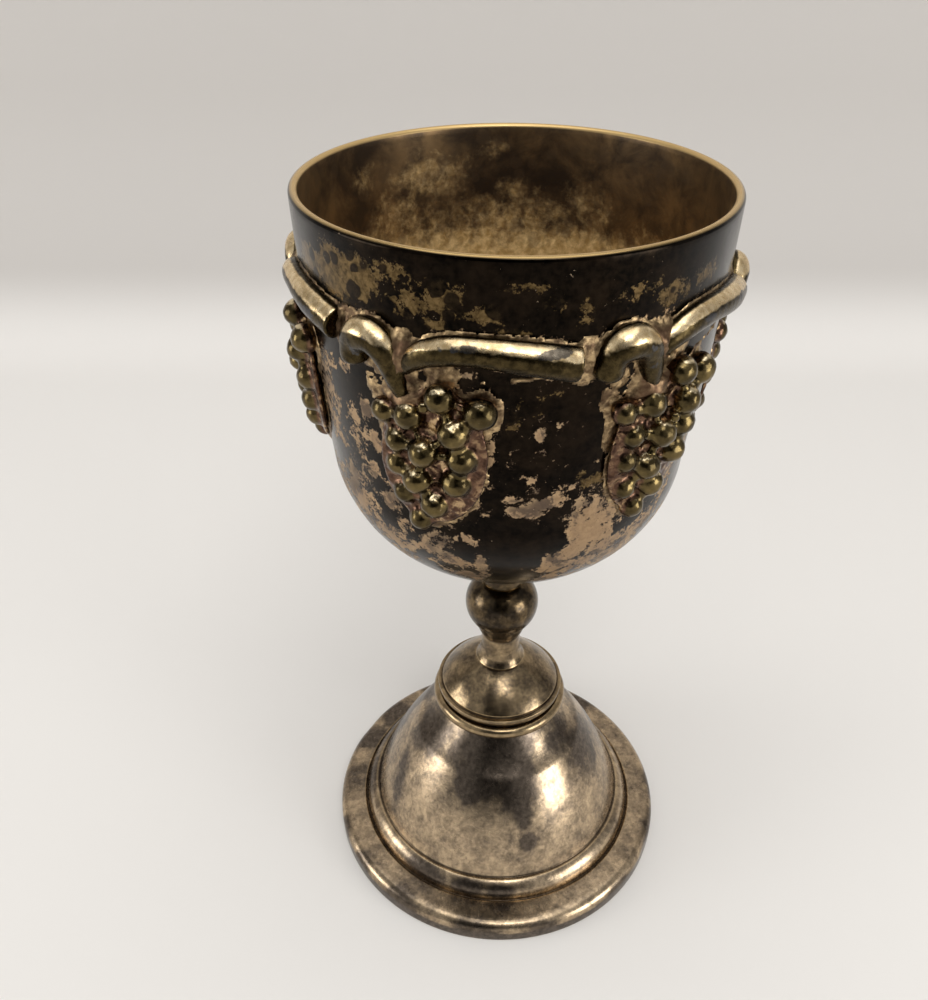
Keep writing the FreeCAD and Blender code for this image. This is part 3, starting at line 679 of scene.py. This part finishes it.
def paper_finish():
    """Matt pale paper, grey from 3 cm up where it curves into the wall: painted shade."""
    material, tree, shader = new_material("pale_paper")
    cloud = grain(tree, 3.0, 3.0, 0.5)
    colour = mixed(tree, cloud, (0.80, 0.785, 0.765, 1), (0.84, 0.825, 0.805, 1))
    place = put(tree, "TexCoord").outputs["Object"]
    height = put(tree, "SeparateXYZ", {0: place}).outputs[2]
    # Painted shade: grey on the curve and the upright wall, pale on the floor.
    colour = mixed(tree, between(tree, height, 0.0, 0.03), colour, (0.55, 0.53, 0.51, 1))
    tree.links.new(colour, shader.inputs["Base Color"])
    shader.inputs["Roughness"].default_value = 0.9
    shader.inputs["Specular IOR Level"].default_value = 0.1
    bump = put(tree, "Bump", {"Height": grain(tree, 900.0, 4.0, 0.6), "Strength": 0.3,
                              "Distance": 0.05 * MM})
    tree.links.new(bump.outputs[0], shader.inputs["Normal"])
    return material


def black_card_finish():
    """Matt black card."""
    material, tree, shader = new_material("black_card")
    fibre = grain(tree, 300.0, 4.0, 0.6)
    tree.links.new(mixed(tree, fibre, (0.018, 0.018, 0.018, 1), (0.035, 0.035, 0.035, 1)),
                   shader.inputs["Base Color"])
    shader.inputs["Roughness"].default_value = 0.95
    return material


# Turned pieces -----------------------------------------------------------------------
# Knocks are (angle, height in mm, width in mm, depth in mm).

CUP_KNOCKS = [(200, 104, 5, 0.25), (118, 158, 4, 0.18), (-66, 104, 4, 0.15), (75, 120, 6, 0.2)]
FOOT_KNOCKS = [(64, 2.5, 3, 0.25), (-120, 3.0, 4, 0.3), (150, 22, 6, 0.2)]
CUP_BACK = (82, 285)
FOOT_BACK = (105, 255)
CUP_WEAR_STRENGTH = 0.86


def settle(piece, node, slot_name, *materials):
    """Puts the finished piece in place of its plain one."""
    for material in materials:
        piece.data.materials.append(material)
    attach(piece, "root")
    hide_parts(node)
    return piece


def degrees_round(places):
    """Angle round the chalice of each point."""
    return np.degrees(np.arctan2(places[:, 0], -places[:, 1]))


def write_outside_wear(mesh, places, angle):
    """Where the cup's outside is worn bare, and where brown film is left on it."""
    height = places[:, 2]
    bare_marks = BARE_MARKS + scattered(
        11, 60, CUP_BACK, (94, 126), (1.5, 5.0), (0.6, 1.0)) + scattered(
        12, 60, CUP_BACK, (110, 146), (0.5, 1.6), (0.6, 0.9))
    film_marks = FILM_MARKS + scattered(
        13, 34, CUP_BACK, (150, 163), (2.0, 5.0), (0.55, 0.9)) + scattered(
        14, 16, CUP_BACK, (112, 142), (2.0, 4.0), (0.45, 0.7))
    beside_castings = 0.62 * np.exp(-nearest_casting(places) / 1.3)
    below_vine = np.where(height / MM < 150, 0.17, 0.0)
    low_down = 0.09 * np.clip((122 - height / MM) / 20, 0, 1)
    bare = np.maximum(strength_of(bare_marks, angle, height), beside_castings)
    bare = np.maximum(bare, below_vine + low_down)
    bare -= 0.9 * strength_of(DARK_MARKS, angle, height)
    write_value(mesh, "bare", np.clip(bare, 0, 1) * CUP_WEAR_STRENGTH)
    write_value(mesh, "film", strength_of(film_marks, angle, height) * CUP_WEAR_STRENGTH)


def write_inside_wear(mesh, places, angle):
    """Where gilding is left inside the cup: in marks, and all over the low part at the back."""
    height = places[:, 2]
    gilt_marks = GILT_MARKS + scattered(
        15, 26, (-90, 120), (120, 160), (3.0, 8.0), (0.5, 0.9)) + scattered(
        16, 30, (0, 360), (92, 126), (5.0, 10.0), (0.6, 1.0))
    low_down = np.clip((151.0 - height / MM) / 14.0, 0, 1)
    at_the_back = np.clip(0.55 - 0.75 * np.cos(np.radians(angle)), 0, 1)
    marked = strength_of(gilt_marks, angle, height) * 0.5
    write_value(mesh, "gilt", np.maximum(marked, low_down * at_the_back))


def make_cup():
    """Spun cup with one finish outside, another inside, and gilding left on the lip."""
    rows = eased(CUP_OUTLINE, False, 3, 0.75 * MM)
    columns = 320

    def hand_spun(angle, radius, height):
        fade = np.clip(radius / (10 * MM), 0, 1)
        unevenness = ripple(angle, height, 4, 5, 0.07 * MM) + dents(angle, radius, height, CUP_KNOCKS)
        return radius + fade * unevenness

    cup = turned_piece("cup_spun", rows, False, columns, hand_spun)
    lip_row = int(np.argmax(rows[:, 1]))
    places = points_of(cup.data)
    angle = degrees_round(places)
    write_outside_wear(cup.data, places, angle)
    write_inside_wear(cup.data, places, angle)
    gilt_from_outside, gilt_from_inside, gilt_fade = 164.72, 164.3, 0.3
    outer = np.arange(len(rows)) < lip_row
    start = np.repeat(np.where(outer, gilt_from_outside, gilt_from_inside), columns)
    write_value(cup.data, "lip", np.clip((places[:, 2] / MM - start) / gilt_fade, 0, 1))
    inside = np.arange(len(cup.data.polygons)) // columns >= lip_row
    cup.data.polygons.foreach_set("material_index", inside.astype(np.int32))
    return settle(cup, "cup", "cup_plate", cup_outside_finish(), cup_inside_finish())


def make_foot(material):
    """Spun foot, dark in patches and along its edge; the patches high on the front are partly painted
    reflection of the cup and stem above.
    """
    points, closed = outline_of("foot")
    rows = eased(points, closed, 9, 0.8 * MM)

    def hand_spun(angle, radius, height):
        edge = np.clip((radius / MM - 36) / 4, 0, 1) * np.clip(height / MM / 1.5, 0, 1)
        unevenness = ripple(angle, height, 9, 6, 0.06 * MM) * np.clip(radius / (20 * MM), 0, 1)
        knocks = dents(angle, radius, height, FOOT_KNOCKS) * (0.4 + 0.6 * edge)
        return radius + unevenness + knocks

    foot = turned_piece("foot_spun", rows, closed, 256, hand_spun)
    places = points_of(foot.data)
    height = places[:, 2]
    marks = FOOT_TARNISH_AND_REFLECTION_MARKS + scattered(
        21, 26, FOOT_BACK, (12, 38), (2.0, 6.0), (0.5, 1.0)) + scattered(
        22, 12, FOOT_BACK, (2.5, 8), (1.6, 4.0), (0.6, 1.0))
    marked = strength_of(marks, degrees_round(places), height, np.hypot(places[:, 0], places[:, 1]))
    along_edge = np.clip((2.9 - height / MM) / 1.2, 0, 0.9)
    # The dark value: marks and the bottom edge; the marks high on the front are partly painted reflection of
    # the cup and stem above.
    write_value(foot.data, "dark", np.maximum(marked, along_edge))
    return settle(foot, "foot", "foot_plate", material)


def make_stem_part(name, node, slot_name, material, columns=144):
    """Turned piece of the stem, not quite even round its wall."""
    points, closed = outline_of(node)
    rows = eased(points, closed, 2, 0.4 * MM)

    def hand_turned(angle, radius, height):
        return radius + ripple(angle, height, len(name), 4, 0.03 * MM)

    return settle(turned_piece(name, rows, closed, columns, hand_turned), node, slot_name, material)


def make_stud(material):
    """Stud with its thread cut on the lower end."""
    points, closed = outline_of("tie_stud")
    rows = eased(points, closed, 1, 0.1 * MM)
    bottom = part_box("tie_stud")[0].z
    thread_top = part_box("foot_washer")[1].z + 3 * MM
    pitch, depth = 0.8 * MM, 0.42 * MM
    core, lead = 1.7 * MM, 0.3 * MM

    def threaded(angle, radius, height):
        turn = (height / pitch - angle / (2 * math.pi)) % 1.0
        cut = depth * np.abs(2 * turn - 1)
        outer = (radius > core) & (height < thread_top)
        return np.where(outer, radius - cut * np.clip((height - bottom) / lead, 0.2, 1), radius)

    stud = turned_piece("tie_stud_threaded", rows, closed, 96, threaded)
    return settle(stud, "tie_stud", "brass_stud", material)


def make_nut(material):
    """Hexagon nut with its corners chamfered on both faces."""
    low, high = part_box("foot_nut")
    flat = (high.y - low.y) / 2
    bore = min(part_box("tie_stud")[1].x, 2.45 * MM)
    corner = flat / math.cos(math.radians(30))
    chamfer_in, chamfer_up = 0.7 * MM, 0.4 * MM
    rows = np.array([(bore, low.z), (corner - chamfer_in, low.z), (corner, low.z + chamfer_up),
                     (corner, high.z - chamfer_up), (corner - chamfer_in, high.z), (bore, high.z)])
    rows = eased(rows, True, 1, 0.35 * MM)

    def six_sided(angle, radius, height):
        turn = (np.degrees(angle) + 30) % 60 - 30
        side = flat / np.cos(np.radians(turn))
        return np.minimum(radius, side)

    nut = turned_piece("foot_nut_chamfered", rows, True, 180, six_sided)
    return settle(nut, "foot_nut", "brass_hardware", material)


# Castings ----------------------------------------------------------------------------

SEATED = 0.6 * MM  # closer to the wall than this, a casting keeps the shape of its plain solid


def neighbours(mesh):
    pairs = np.empty(len(mesh.edges) * 2, np.int32)
    mesh.edges.foreach_get("vertices", pairs)
    return pairs.reshape(-1, 2)


def spread(values, pairs, rounds):
    """Averages a value with those beside it."""
    count = np.bincount(pairs.ravel(), minlength=len(values)) + 1.0
    for _ in range(rounds):
        total = values.copy()
        np.add.at(total, pairs[:, 0], values[pairs[:, 1]])
        np.add.at(total, pairs[:, 1], values[pairs[:, 0]])
        values = total / count
    return values


def hollowness(mesh, places, normals):
    """How hollow the surface is at each point, about -1 to 1."""
    pairs = neighbours(mesh)
    toward = np.zeros(len(places))
    link = places[pairs[:, 1]] - places[pairs[:, 0]]
    size = np.linalg.norm(link, axis=1) + 1e-9
    np.add.at(toward, pairs[:, 0], (link * normals[pairs[:, 0]]).sum(axis=1) / size)
    np.add.at(toward, pairs[:, 1], -(link * normals[pairs[:, 1]]).sum(axis=1) / size)
    count = np.bincount(pairs.ravel(), minlength=len(places)) + 1e-9
    return spread(toward / count, pairs, 3) * 5.0


def join_by_voxels(piece, voxel):
    joined = piece.modifiers.new("joined", "REMESH")
    joined.mode = "VOXEL"
    joined.voxel_size = voxel * MM


def softened_mesh(name, node, voxel, softening, filled):
    """The node's plain solid as one soft-edged mesh."""
    plain = bpy.data.objects.new(name + "_pattern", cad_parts[node].data.copy())
    bpy.context.scene.collection.objects.link(plain)
    join_by_voxels(plain, voxel)
    for amount in (filled, -filled):
        if filled:
            grown = plain.modifiers.new("filled", "DISPLACE")
            grown.mid_level = 0.0
            grown.strength = amount * MM
            join_by_voxels(plain, voxel)
    soft = plain.modifiers.new("softened", "SMOOTH")
    soft.factor = 0.5
    soft.iterations = softening
    ready = plain.evaluated_get(bpy.context.evaluated_depsgraph_get())
    mesh = bpy.data.meshes.new_from_object(ready)
    mesh.name = name
    bpy.data.objects.remove(plain)
    mesh.materials.clear()
    mesh.shade_smooth()
    return mesh


def casting(name, node, voxel, softening, swell, crest_and_highlight_from, waves, filled=0.0):
    """Soft-edged casting made from its plain solid, sizes in mm. waves is (size, depth) pairs.

    swell makes up for what softening takes off. Where the surface stands out from the wall and looks
    up more than the threshold given, it is set bright: rubbed metal on the crest and a painted
    highlight on the upper faces, where the lamps above would light it. Hollows narrower than twice
    filled are closed up.
    """
    mesh = softened_mesh(name, node, voxel, softening, filled)
    places, normals = points_of(mesh), normals_of(mesh)
    out = np.hypot(places[:, 0], places[:, 1])
    rise = out - cup_radius(places[:, 2])
    free = np.clip(rise / SEATED, 0, 1)
    move = np.full(len(places), swell * MM)
    for size, depth in waves:
        move += depth * MM * np.array([noise.noise(Vector(place) / (size * MM)) for place in places])
    places += normals * (move * free)[:, None]
    move_points(mesh, places)
    normals = normals_of(mesh)
    outward = np.stack([places[:, 0] / out, places[:, 1] / out, np.zeros(len(out))], axis=1)
    facing = (normals * outward).sum(axis=1)
    write_value(mesh, "sunk", np.clip(hollowness(mesh, places, normals), 0, 1))
    write_value(mesh, "rise", rise / MM)
    # Bright where the casting stands out and faces up: rubbed crests, and painted highlight from the lamps
    # above.
    high = np.clip((rise / MM - 0.7) / 0.9, 0, 1)
    up = np.clip((normals[:, 2] * 0.9 + facing * 0.25 - crest_and_highlight_from) / 0.3, 0, 1)
    write_value(mesh, "crest_and_highlight", high * up)
    piece = bpy.data.objects.new(name, mesh)
    bpy.context.scene.collection.objects.link(piece)
    return piece


def marks_at_bunch(marks, number):
    """Marks whose angles are from a bunch's middle, carried round to that bunch."""
    middle = FIRST_BUNCH_ANGLE + (number - 1) * 360 / REPEATS
    return [(middle + at, *rest) for at, *rest in marks]


def oxide_on(piece, number, marks):
    """Blue-black patches left on a casting, their angles from the bunch's middle."""
    places = points_of(piece.data)
    strength = strength_of(marks_at_bunch(marks, number), degrees_round(places), places[:, 2])
    write_value(piece.data, "oxide", strength * 0.8)


BRANCH_OXIDE = {
    1: [(28.5, 151.2, 3.2, 0.7, 4, 1.0), (10.5, 151.8, 1.6, 0.7, 0, 0.9), (7.6, 151.6, 0.9, 0.6, 0, 0.8),
        (18.0, 151.6, 1.2, 0.5, 0, 0.6), (4.4, 151.2, 1.0, 0.6, 0, 0.6)],
    2: [(8.0, 151.8, 2.0, 0.8, 0, 0.9), (24.0, 151.5, 2.4, 0.8, 5, 0.8)],
    6: [(26.0, 150.5, 3.0, 1.2, 0, 0.9), (14.0, 151.5, 2.0, 0.9, 0, 0.7)],
}
SCROLL_OXIDE = {
    1: [(-13.0, 151.0, 1.2, 0.7, 0, 0.6), (-17.5, 147.5, 0.8, 1.4, 0, 0.7)],
    2: [(-10.0, 150.6, 1.2, 0.7, -30, 0.7), (-8.0, 147.0, 0.7, 1.4, 0, 0.7)],
}


def make_vine(material):
    """Branches and scrolls by turns, so that every second piece is a branch."""
    pieces = []
    for number in range(1, REPEATS + 1):
        branch = casting(f"branch_{number}_casting", f"vine_branch_{number}", voxel=0.28, softening=2,
                         swell=0.05, crest_and_highlight_from=0.46, waves=[(4.0, 0.07), (0.9, 0.03)])
        oxide_on(branch, number, BRANCH_OXIDE.get(number, scattered(
            30 + number, 5, (4, 34), (150.0, 152.0), (0.6, 2.6), (0.5, 0.95))))
        pieces.append(settle(branch, f"vine_branch_{number}", "vine_plate", material))
        scroll = casting(f"scroll_{number}_casting", f"vine_scroll_{number}", voxel=0.28, softening=2,
                         swell=0.05, crest_and_highlight_from=0.32, waves=[(3.6, 0.10), (0.9, 0.03)])
        oxide_on(scroll, number, SCROLL_OXIDE.get(number, scattered(
            40 + number, 4, (-19, -8), (146.0, 152.0), (0.6, 1.6), (0.5, 0.9))))
        pieces.append(settle(scroll, f"vine_scroll_{number}", "vine_plate", material))
    return pieces


def make_grapes(material):
    pieces = []
    for number in range(1, REPEATS + 1):
        bunch = casting(f"bunch_{number}_casting", f"grape_bunch_{number}", voxel=0.21, softening=2,
                        swell=0.22, crest_and_highlight_from=0.62, waves=[(2.2, 0.14), (0.7, 0.06)], filled=1.0)
        pieces.append(settle(bunch, f"grape_bunch_{number}", "grape_plate", material))
    return pieces


def tree_of(pieces):
    """One search tree over several meshes."""
    corners, faces = [], []
    for piece in pieces:
        start = len(corners)
        corners += [tuple(corner.co) for corner in piece.data.vertices]
        faces += [tuple(start + corner for corner in face.vertices) for face in piece.data.polygons]
    return BVHTree.FromPolygons(corners, faces)


def nearest_casting(places):
    """Distance in mm from each point to the castings, far_off where there are none close by."""
    far_off = 20.0
    distances = np.full(len(places), far_off)
    for index, place in enumerate(places):
        if 108 * MM < place[2] < 160 * MM:
            found = CASTING_TREE.find_nearest(place, 6 * MM)
            if found[0] is not None:
                distances[index] = found[3] / MM
    return distances


# Solder ------------------------------------------------------------------------------

SOLDER_STEP = 0.42 * MM
SOLDER_LEVELS = np.arange(111 * MM, 156 * MM, SOLDER_STEP)
SOLDER_COLUMNS = int(2 * math.pi * 37 * MM / SOLDER_STEP)
SOLDER_ANGLES = np.arange(SOLDER_COLUMNS) * 2 * math.pi / SOLDER_COLUMNS
SOLDER_REACH = 3.2 * MM  # no casting further off than this draws solder to it
SOLDER_BITE = 0.25 * MM  # how far the solder's back lies inside the cup's wall
SOLDER_MARKS = [
    (-6.0, 150.8, 2.2, 1.2, -35, 1.0), (-14.6, 144.6, 1.7, 1.9, 0, 0.9), (-16.5, 141.0, 1.4, 2.2, 15, 0.8),
    (-14.8, 136.0, 0.9, 4.2, 0, 1.0), (-12.6, 128.0, 0.6, 4.0, 0, 0.75), (16.4, 139.0, 0.6, 2.4, 0, 1.0),
    (13.6, 135.8, 1.2, 0.9, 20, 0.9), (11.6, 129.5, 0.8, 3.4, 0, 0.8), (10.0, 123.6, 0.9, 2.0, 0, 0.75),
    (4.6, 119.0, 1.8, 0.8, 35, 0.9), (-1.5, 115.4, 1.8, 0.7, 0, 0.8), (22.0, 145.8, 5.5, 0.25, 8, 0.9),
]


def solder_patches():
    """Solder in mm left on the wall round every bunch, by level and angle."""
    around, up = np.meshgrid(np.degrees(SOLDER_ANGLES), SOLDER_LEVELS)
    patches = np.zeros_like(up)
    for number in range(1, REPEATS + 1):
        marks = marks_at_bunch(SOLDER_MARKS, number)
        patches = np.maximum(patches, 0.32 * strength_of(marks, around, up))
    return patches


def solder_thickness(trees):
    """Solder in mm by level and angle, none where it is under zero.

    Each tree comes with how far its solder spreads and how thick it is, both in mm. Where
    two trees are near, the solder fills the gap between them.
    """
    thickness = solder_patches()
    for row, level in enumerate(SOLDER_LEVELS):
        wall = cup_radius(level)
        for column, angle in enumerate(SOLDER_ANGLES):
            place = Vector((wall * math.sin(angle), -wall * math.cos(angle), level))
            total = thickness[row, column]
            away = []
            for tree, reach, amount in trees:
                found = tree.find_nearest(place, SOLDER_REACH)
                if found[0] is not None:
                    away.append(found[3] / MM)
                    total += amount * math.exp(-away[-1] / reach)
            if len(away) > 1:
                total += 1.7 * math.exp(-((sum(away) / 2.7) ** 2))
            if total > 0.02:
                rough = noise.fractal(place / (0.9 * MM), 0.8, 2.2, 4)
                patchy = noise.noise(place / (3.5 * MM))
                total += (0.26 * rough + 0.22 * patchy - 0.03) * min(total * 3.0, 1.0)
            thickness[row, column] = total - 0.13
    return thickness


def solder_crust(thickness):
    """Closed crust on the wall where there is solder: its points, faces and rise in mm."""
    kept = thickness > 0.0
    walls = cup_radius(SOLDER_LEVELS)
    faces, numbers, places, rises = [], {}, [], []

    def corner(row, column, top):
        key = (row, column, top)
        if key not in numbers:
            numbers[key] = len(places)
            lift = max(thickness[row, column], -0.05) * MM if top else -SOLDER_BITE
            reach, angle = walls[row] + lift, SOLDER_ANGLES[column]
            places.append((reach * math.sin(angle), -reach * math.cos(angle), SOLDER_LEVELS[row]))
            rises.append(lift / MM)
        return numbers[key]

    def soldered(row, column):
        here, beside = column % SOLDER_COLUMNS, (column + 1) % SOLDER_COLUMNS
        return 0 <= row < len(walls) - 1 and (
            kept[row, here] or kept[row, beside] or kept[row + 1, here] or kept[row + 1, beside])

    for row in range(len(walls) - 1):
        for column in range(SOLDER_COLUMNS):
            if not soldered(row, column):
                continue
            beside = (column + 1) % SOLDER_COLUMNS
            ring = [(row, column), (row, beside), (row + 1, beside), (row + 1, column)]
            faces.append([corner(*at, True) for at in ring])
            faces.append([corner(*at, False) for at in reversed(ring)])
            around = [(row - 1, column), (row, column + 1), (row + 1, column), (row, column - 1)]
            for other, first, second in zip(around, ring, ring[1:] + ring[:1]):
                if not soldered(*other):
                    faces.append([corner(*second, True), corner(*first, True),
                                  corner(*first, False), corner(*second, False)])
    return places, faces, rises


def make_solder(material, trees):
    """Solder seam round every casting, thick where two castings meet."""
    places, faces, rises = solder_crust(solder_thickness(trees))
    mesh = bpy.data.meshes.new("vine_solder")
    mesh.from_pydata(places, [], faces)
    mesh.shade_smooth()
    write_value(mesh, "rise", rises)
    mesh.materials.append(material)
    piece = bpy.data.objects.new("vine_solder", mesh)
    bpy.context.scene.collection.objects.link(piece)
    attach(piece, "root")
    return piece


# Studio ------------------------------------------------------------------------------

def make_sweep(material):
    """Pale paper floor that curves up behind the chalice."""
    front, middle, start, bend, top, half = -2.4, -1.0, 0.24, 0.11, 1.6, 2.2
    outline = [(front, 0.0), (middle, 0.0), (start, 0.0)]
    outline += [(start + bend * math.sin(math.radians(turn)), bend * (1 - math.cos(math.radians(turn))))
                for turn in range(6, 91, 6)]
    outline.append((start + bend, top))
    places = [(side, y, z) for y, z in outline for side in (-half, half)]
    faces = [(2 * row, 2 * row + 1, 2 * row + 3, 2 * row + 2) for row in range(len(outline) - 1)]
    mesh = bpy.data.meshes.new("paper_sweep")
    mesh.from_pydata(places, [], faces)
    mesh.shade_smooth()
    mesh.materials.append(material)
    sweep = bpy.data.objects.new("paper_sweep", mesh)
    bpy.context.scene.collection.objects.link(sweep)
    return sweep


def add_softbox(name, place, target, width, length, power, colour=(1.0, 1.0, 1.0)):
    lamp = bpy.data.lights.new(name, "AREA")
    lamp.shape = "RECTANGLE"
    lamp.size, lamp.size_y = width, length
    lamp.energy = power
    lamp.color = colour
    box = bpy.data.objects.new(name, lamp)
    box.location = place
    box.rotation_euler = (Vector(target) - Vector(place)).to_track_quat("-Z", "Y").to_euler()
    box.visible_camera = False
    bpy.context.scene.collection.objects.link(box)
    return box


def light_studio():
    """Soft pale room with a large panel overhead and small ones high in front and at each side."""
    world = bpy.data.worlds.new("pale_room")
    world.use_nodes = True
    room = world.node_tree.nodes["Background"]
    room.inputs["Color"].default_value = (1.0, 0.985, 0.965, 1)
    room.inputs["Strength"].default_value = 0.42
    bpy.context.scene.world = world
    middle = (0.0, 0.0, 0.08)
    warm = (1.0, 0.985, 0.96)
    add_softbox("overhead_softbox", (0.0, 0.02, 1.15), middle, width=1.1, length=1.1, power=5.4, colour=warm)
    add_softbox("front_softbox", (0.12, -0.62, 0.95), middle, width=0.42, length=0.36, power=2.6, colour=warm)
    add_softbox("right_softbox", (0.60, -0.40, 0.17), middle, width=0.34, length=0.34, power=2.2, colour=warm)
    add_softbox("left_softbox", (-0.70, -0.14, 0.20), middle, width=0.34, length=0.30, power=1.5, colour=warm)


def make_flag(material):
    """Black card in front of the chalice, there only to be mirrored in its metal."""
    bottom, top, near, far = 0.10, 0.62, -0.45, -0.55
    mesh = bpy.data.meshes.new("black_flag")
    mesh.from_pydata([(-0.26, far, bottom), (0.16, far, bottom), (0.20, near, top), (-0.30, near, top)],
                     [], [(0, 1, 2, 3)])
    mesh.materials.append(material)
    flag = bpy.data.objects.new("black_flag", mesh)
    bpy.context.scene.collection.objects.link(flag)
    flag.visible_camera = False
    flag.visible_diffuse = False
    flag.visible_shadow = False


def place_camera():
    lens = bpy.data.cameras.new("studio_camera")
    lens.sensor_width = 36.0
    lens.lens = 33.444
    lens.clip_start = 0.01
    camera = bpy.data.objects.new("studio_camera", lens)
    camera.location = (-0.00865, -0.16083, 0.21074)
    camera.rotation_euler = (math.radians(54.913), 0.0, 0.0)
    bpy.context.scene.collection.objects.link(camera)
    bpy.context.scene.camera = camera
    bpy.context.scene.view_settings.view_transform = "Standard"


# The whole chalice -------------------------------------------------------------------

vine = make_vine(vine_finish())
grapes = make_grapes(grape_finish())
CASTING_TREE = tree_of(vine + grapes)
branches, scrolls = vine[::2], vine[1::2]
make_solder(solder_finish(), [(tree_of(branches), 0.32, 0.36), (tree_of(scrolls), 0.42, 0.42),
                              (tree_of(grapes), 0.62, 0.40)])
make_cup()
foot_plate = turned_plate_finish("mottled_foot_plate", dark=(0.070, 0.056, 0.044), tan=(0.70, 0.535, 0.35),
                                 guide=0.56, scale=300.0, haze=(0.18, 0.34))
make_foot(foot_plate)
stem_plate = turned_plate_finish("dark_stem_plate", dark=(0.022, 0.017, 0.012), tan=(0.34, 0.235, 0.12),
                                 guide=0.34, scale=330.0, haze=(0.12, 0.28))
collar_plate = turned_plate_finish("collar_plate", dark=(0.050, 0.038, 0.027), tan=(0.50, 0.37, 0.215),
                                   guide=0.5, scale=320.0, haze=(0.14, 0.30))
for name, node, slot_name, material in (
        ("upper_stem_turned", "upper_stem", "stem_plate", stem_plate),
        ("knop_turned", "stem_knop", "stem_plate", stem_plate),
        ("waist_turned", "lower_stem", "stem_plate", collar_plate),
        ("collar_disc_turned", "collar_disc", "foot_plate", collar_plate),
        ("collar_ring_turned", "collar_ring", "foot_plate", collar_plate)):
    make_stem_part(name, node, slot_name, material)
make_stud(brass_finish("browned_thread_brass", (0.62, 0.47, 0.24, 1), (0.30, 0.21, 0.10, 1)))
nut_brass = brass_finish("browned_nut_brass", (0.66, 0.51, 0.27, 1), (0.34, 0.24, 0.12, 1))
make_nut(nut_brass)
make_stem_part("foot_washer_stamped", "foot_washer", "brass_hardware", nut_brass)

make_sweep(paper_finish())
make_flag(black_card_finish())
light_studio()
place_camera()
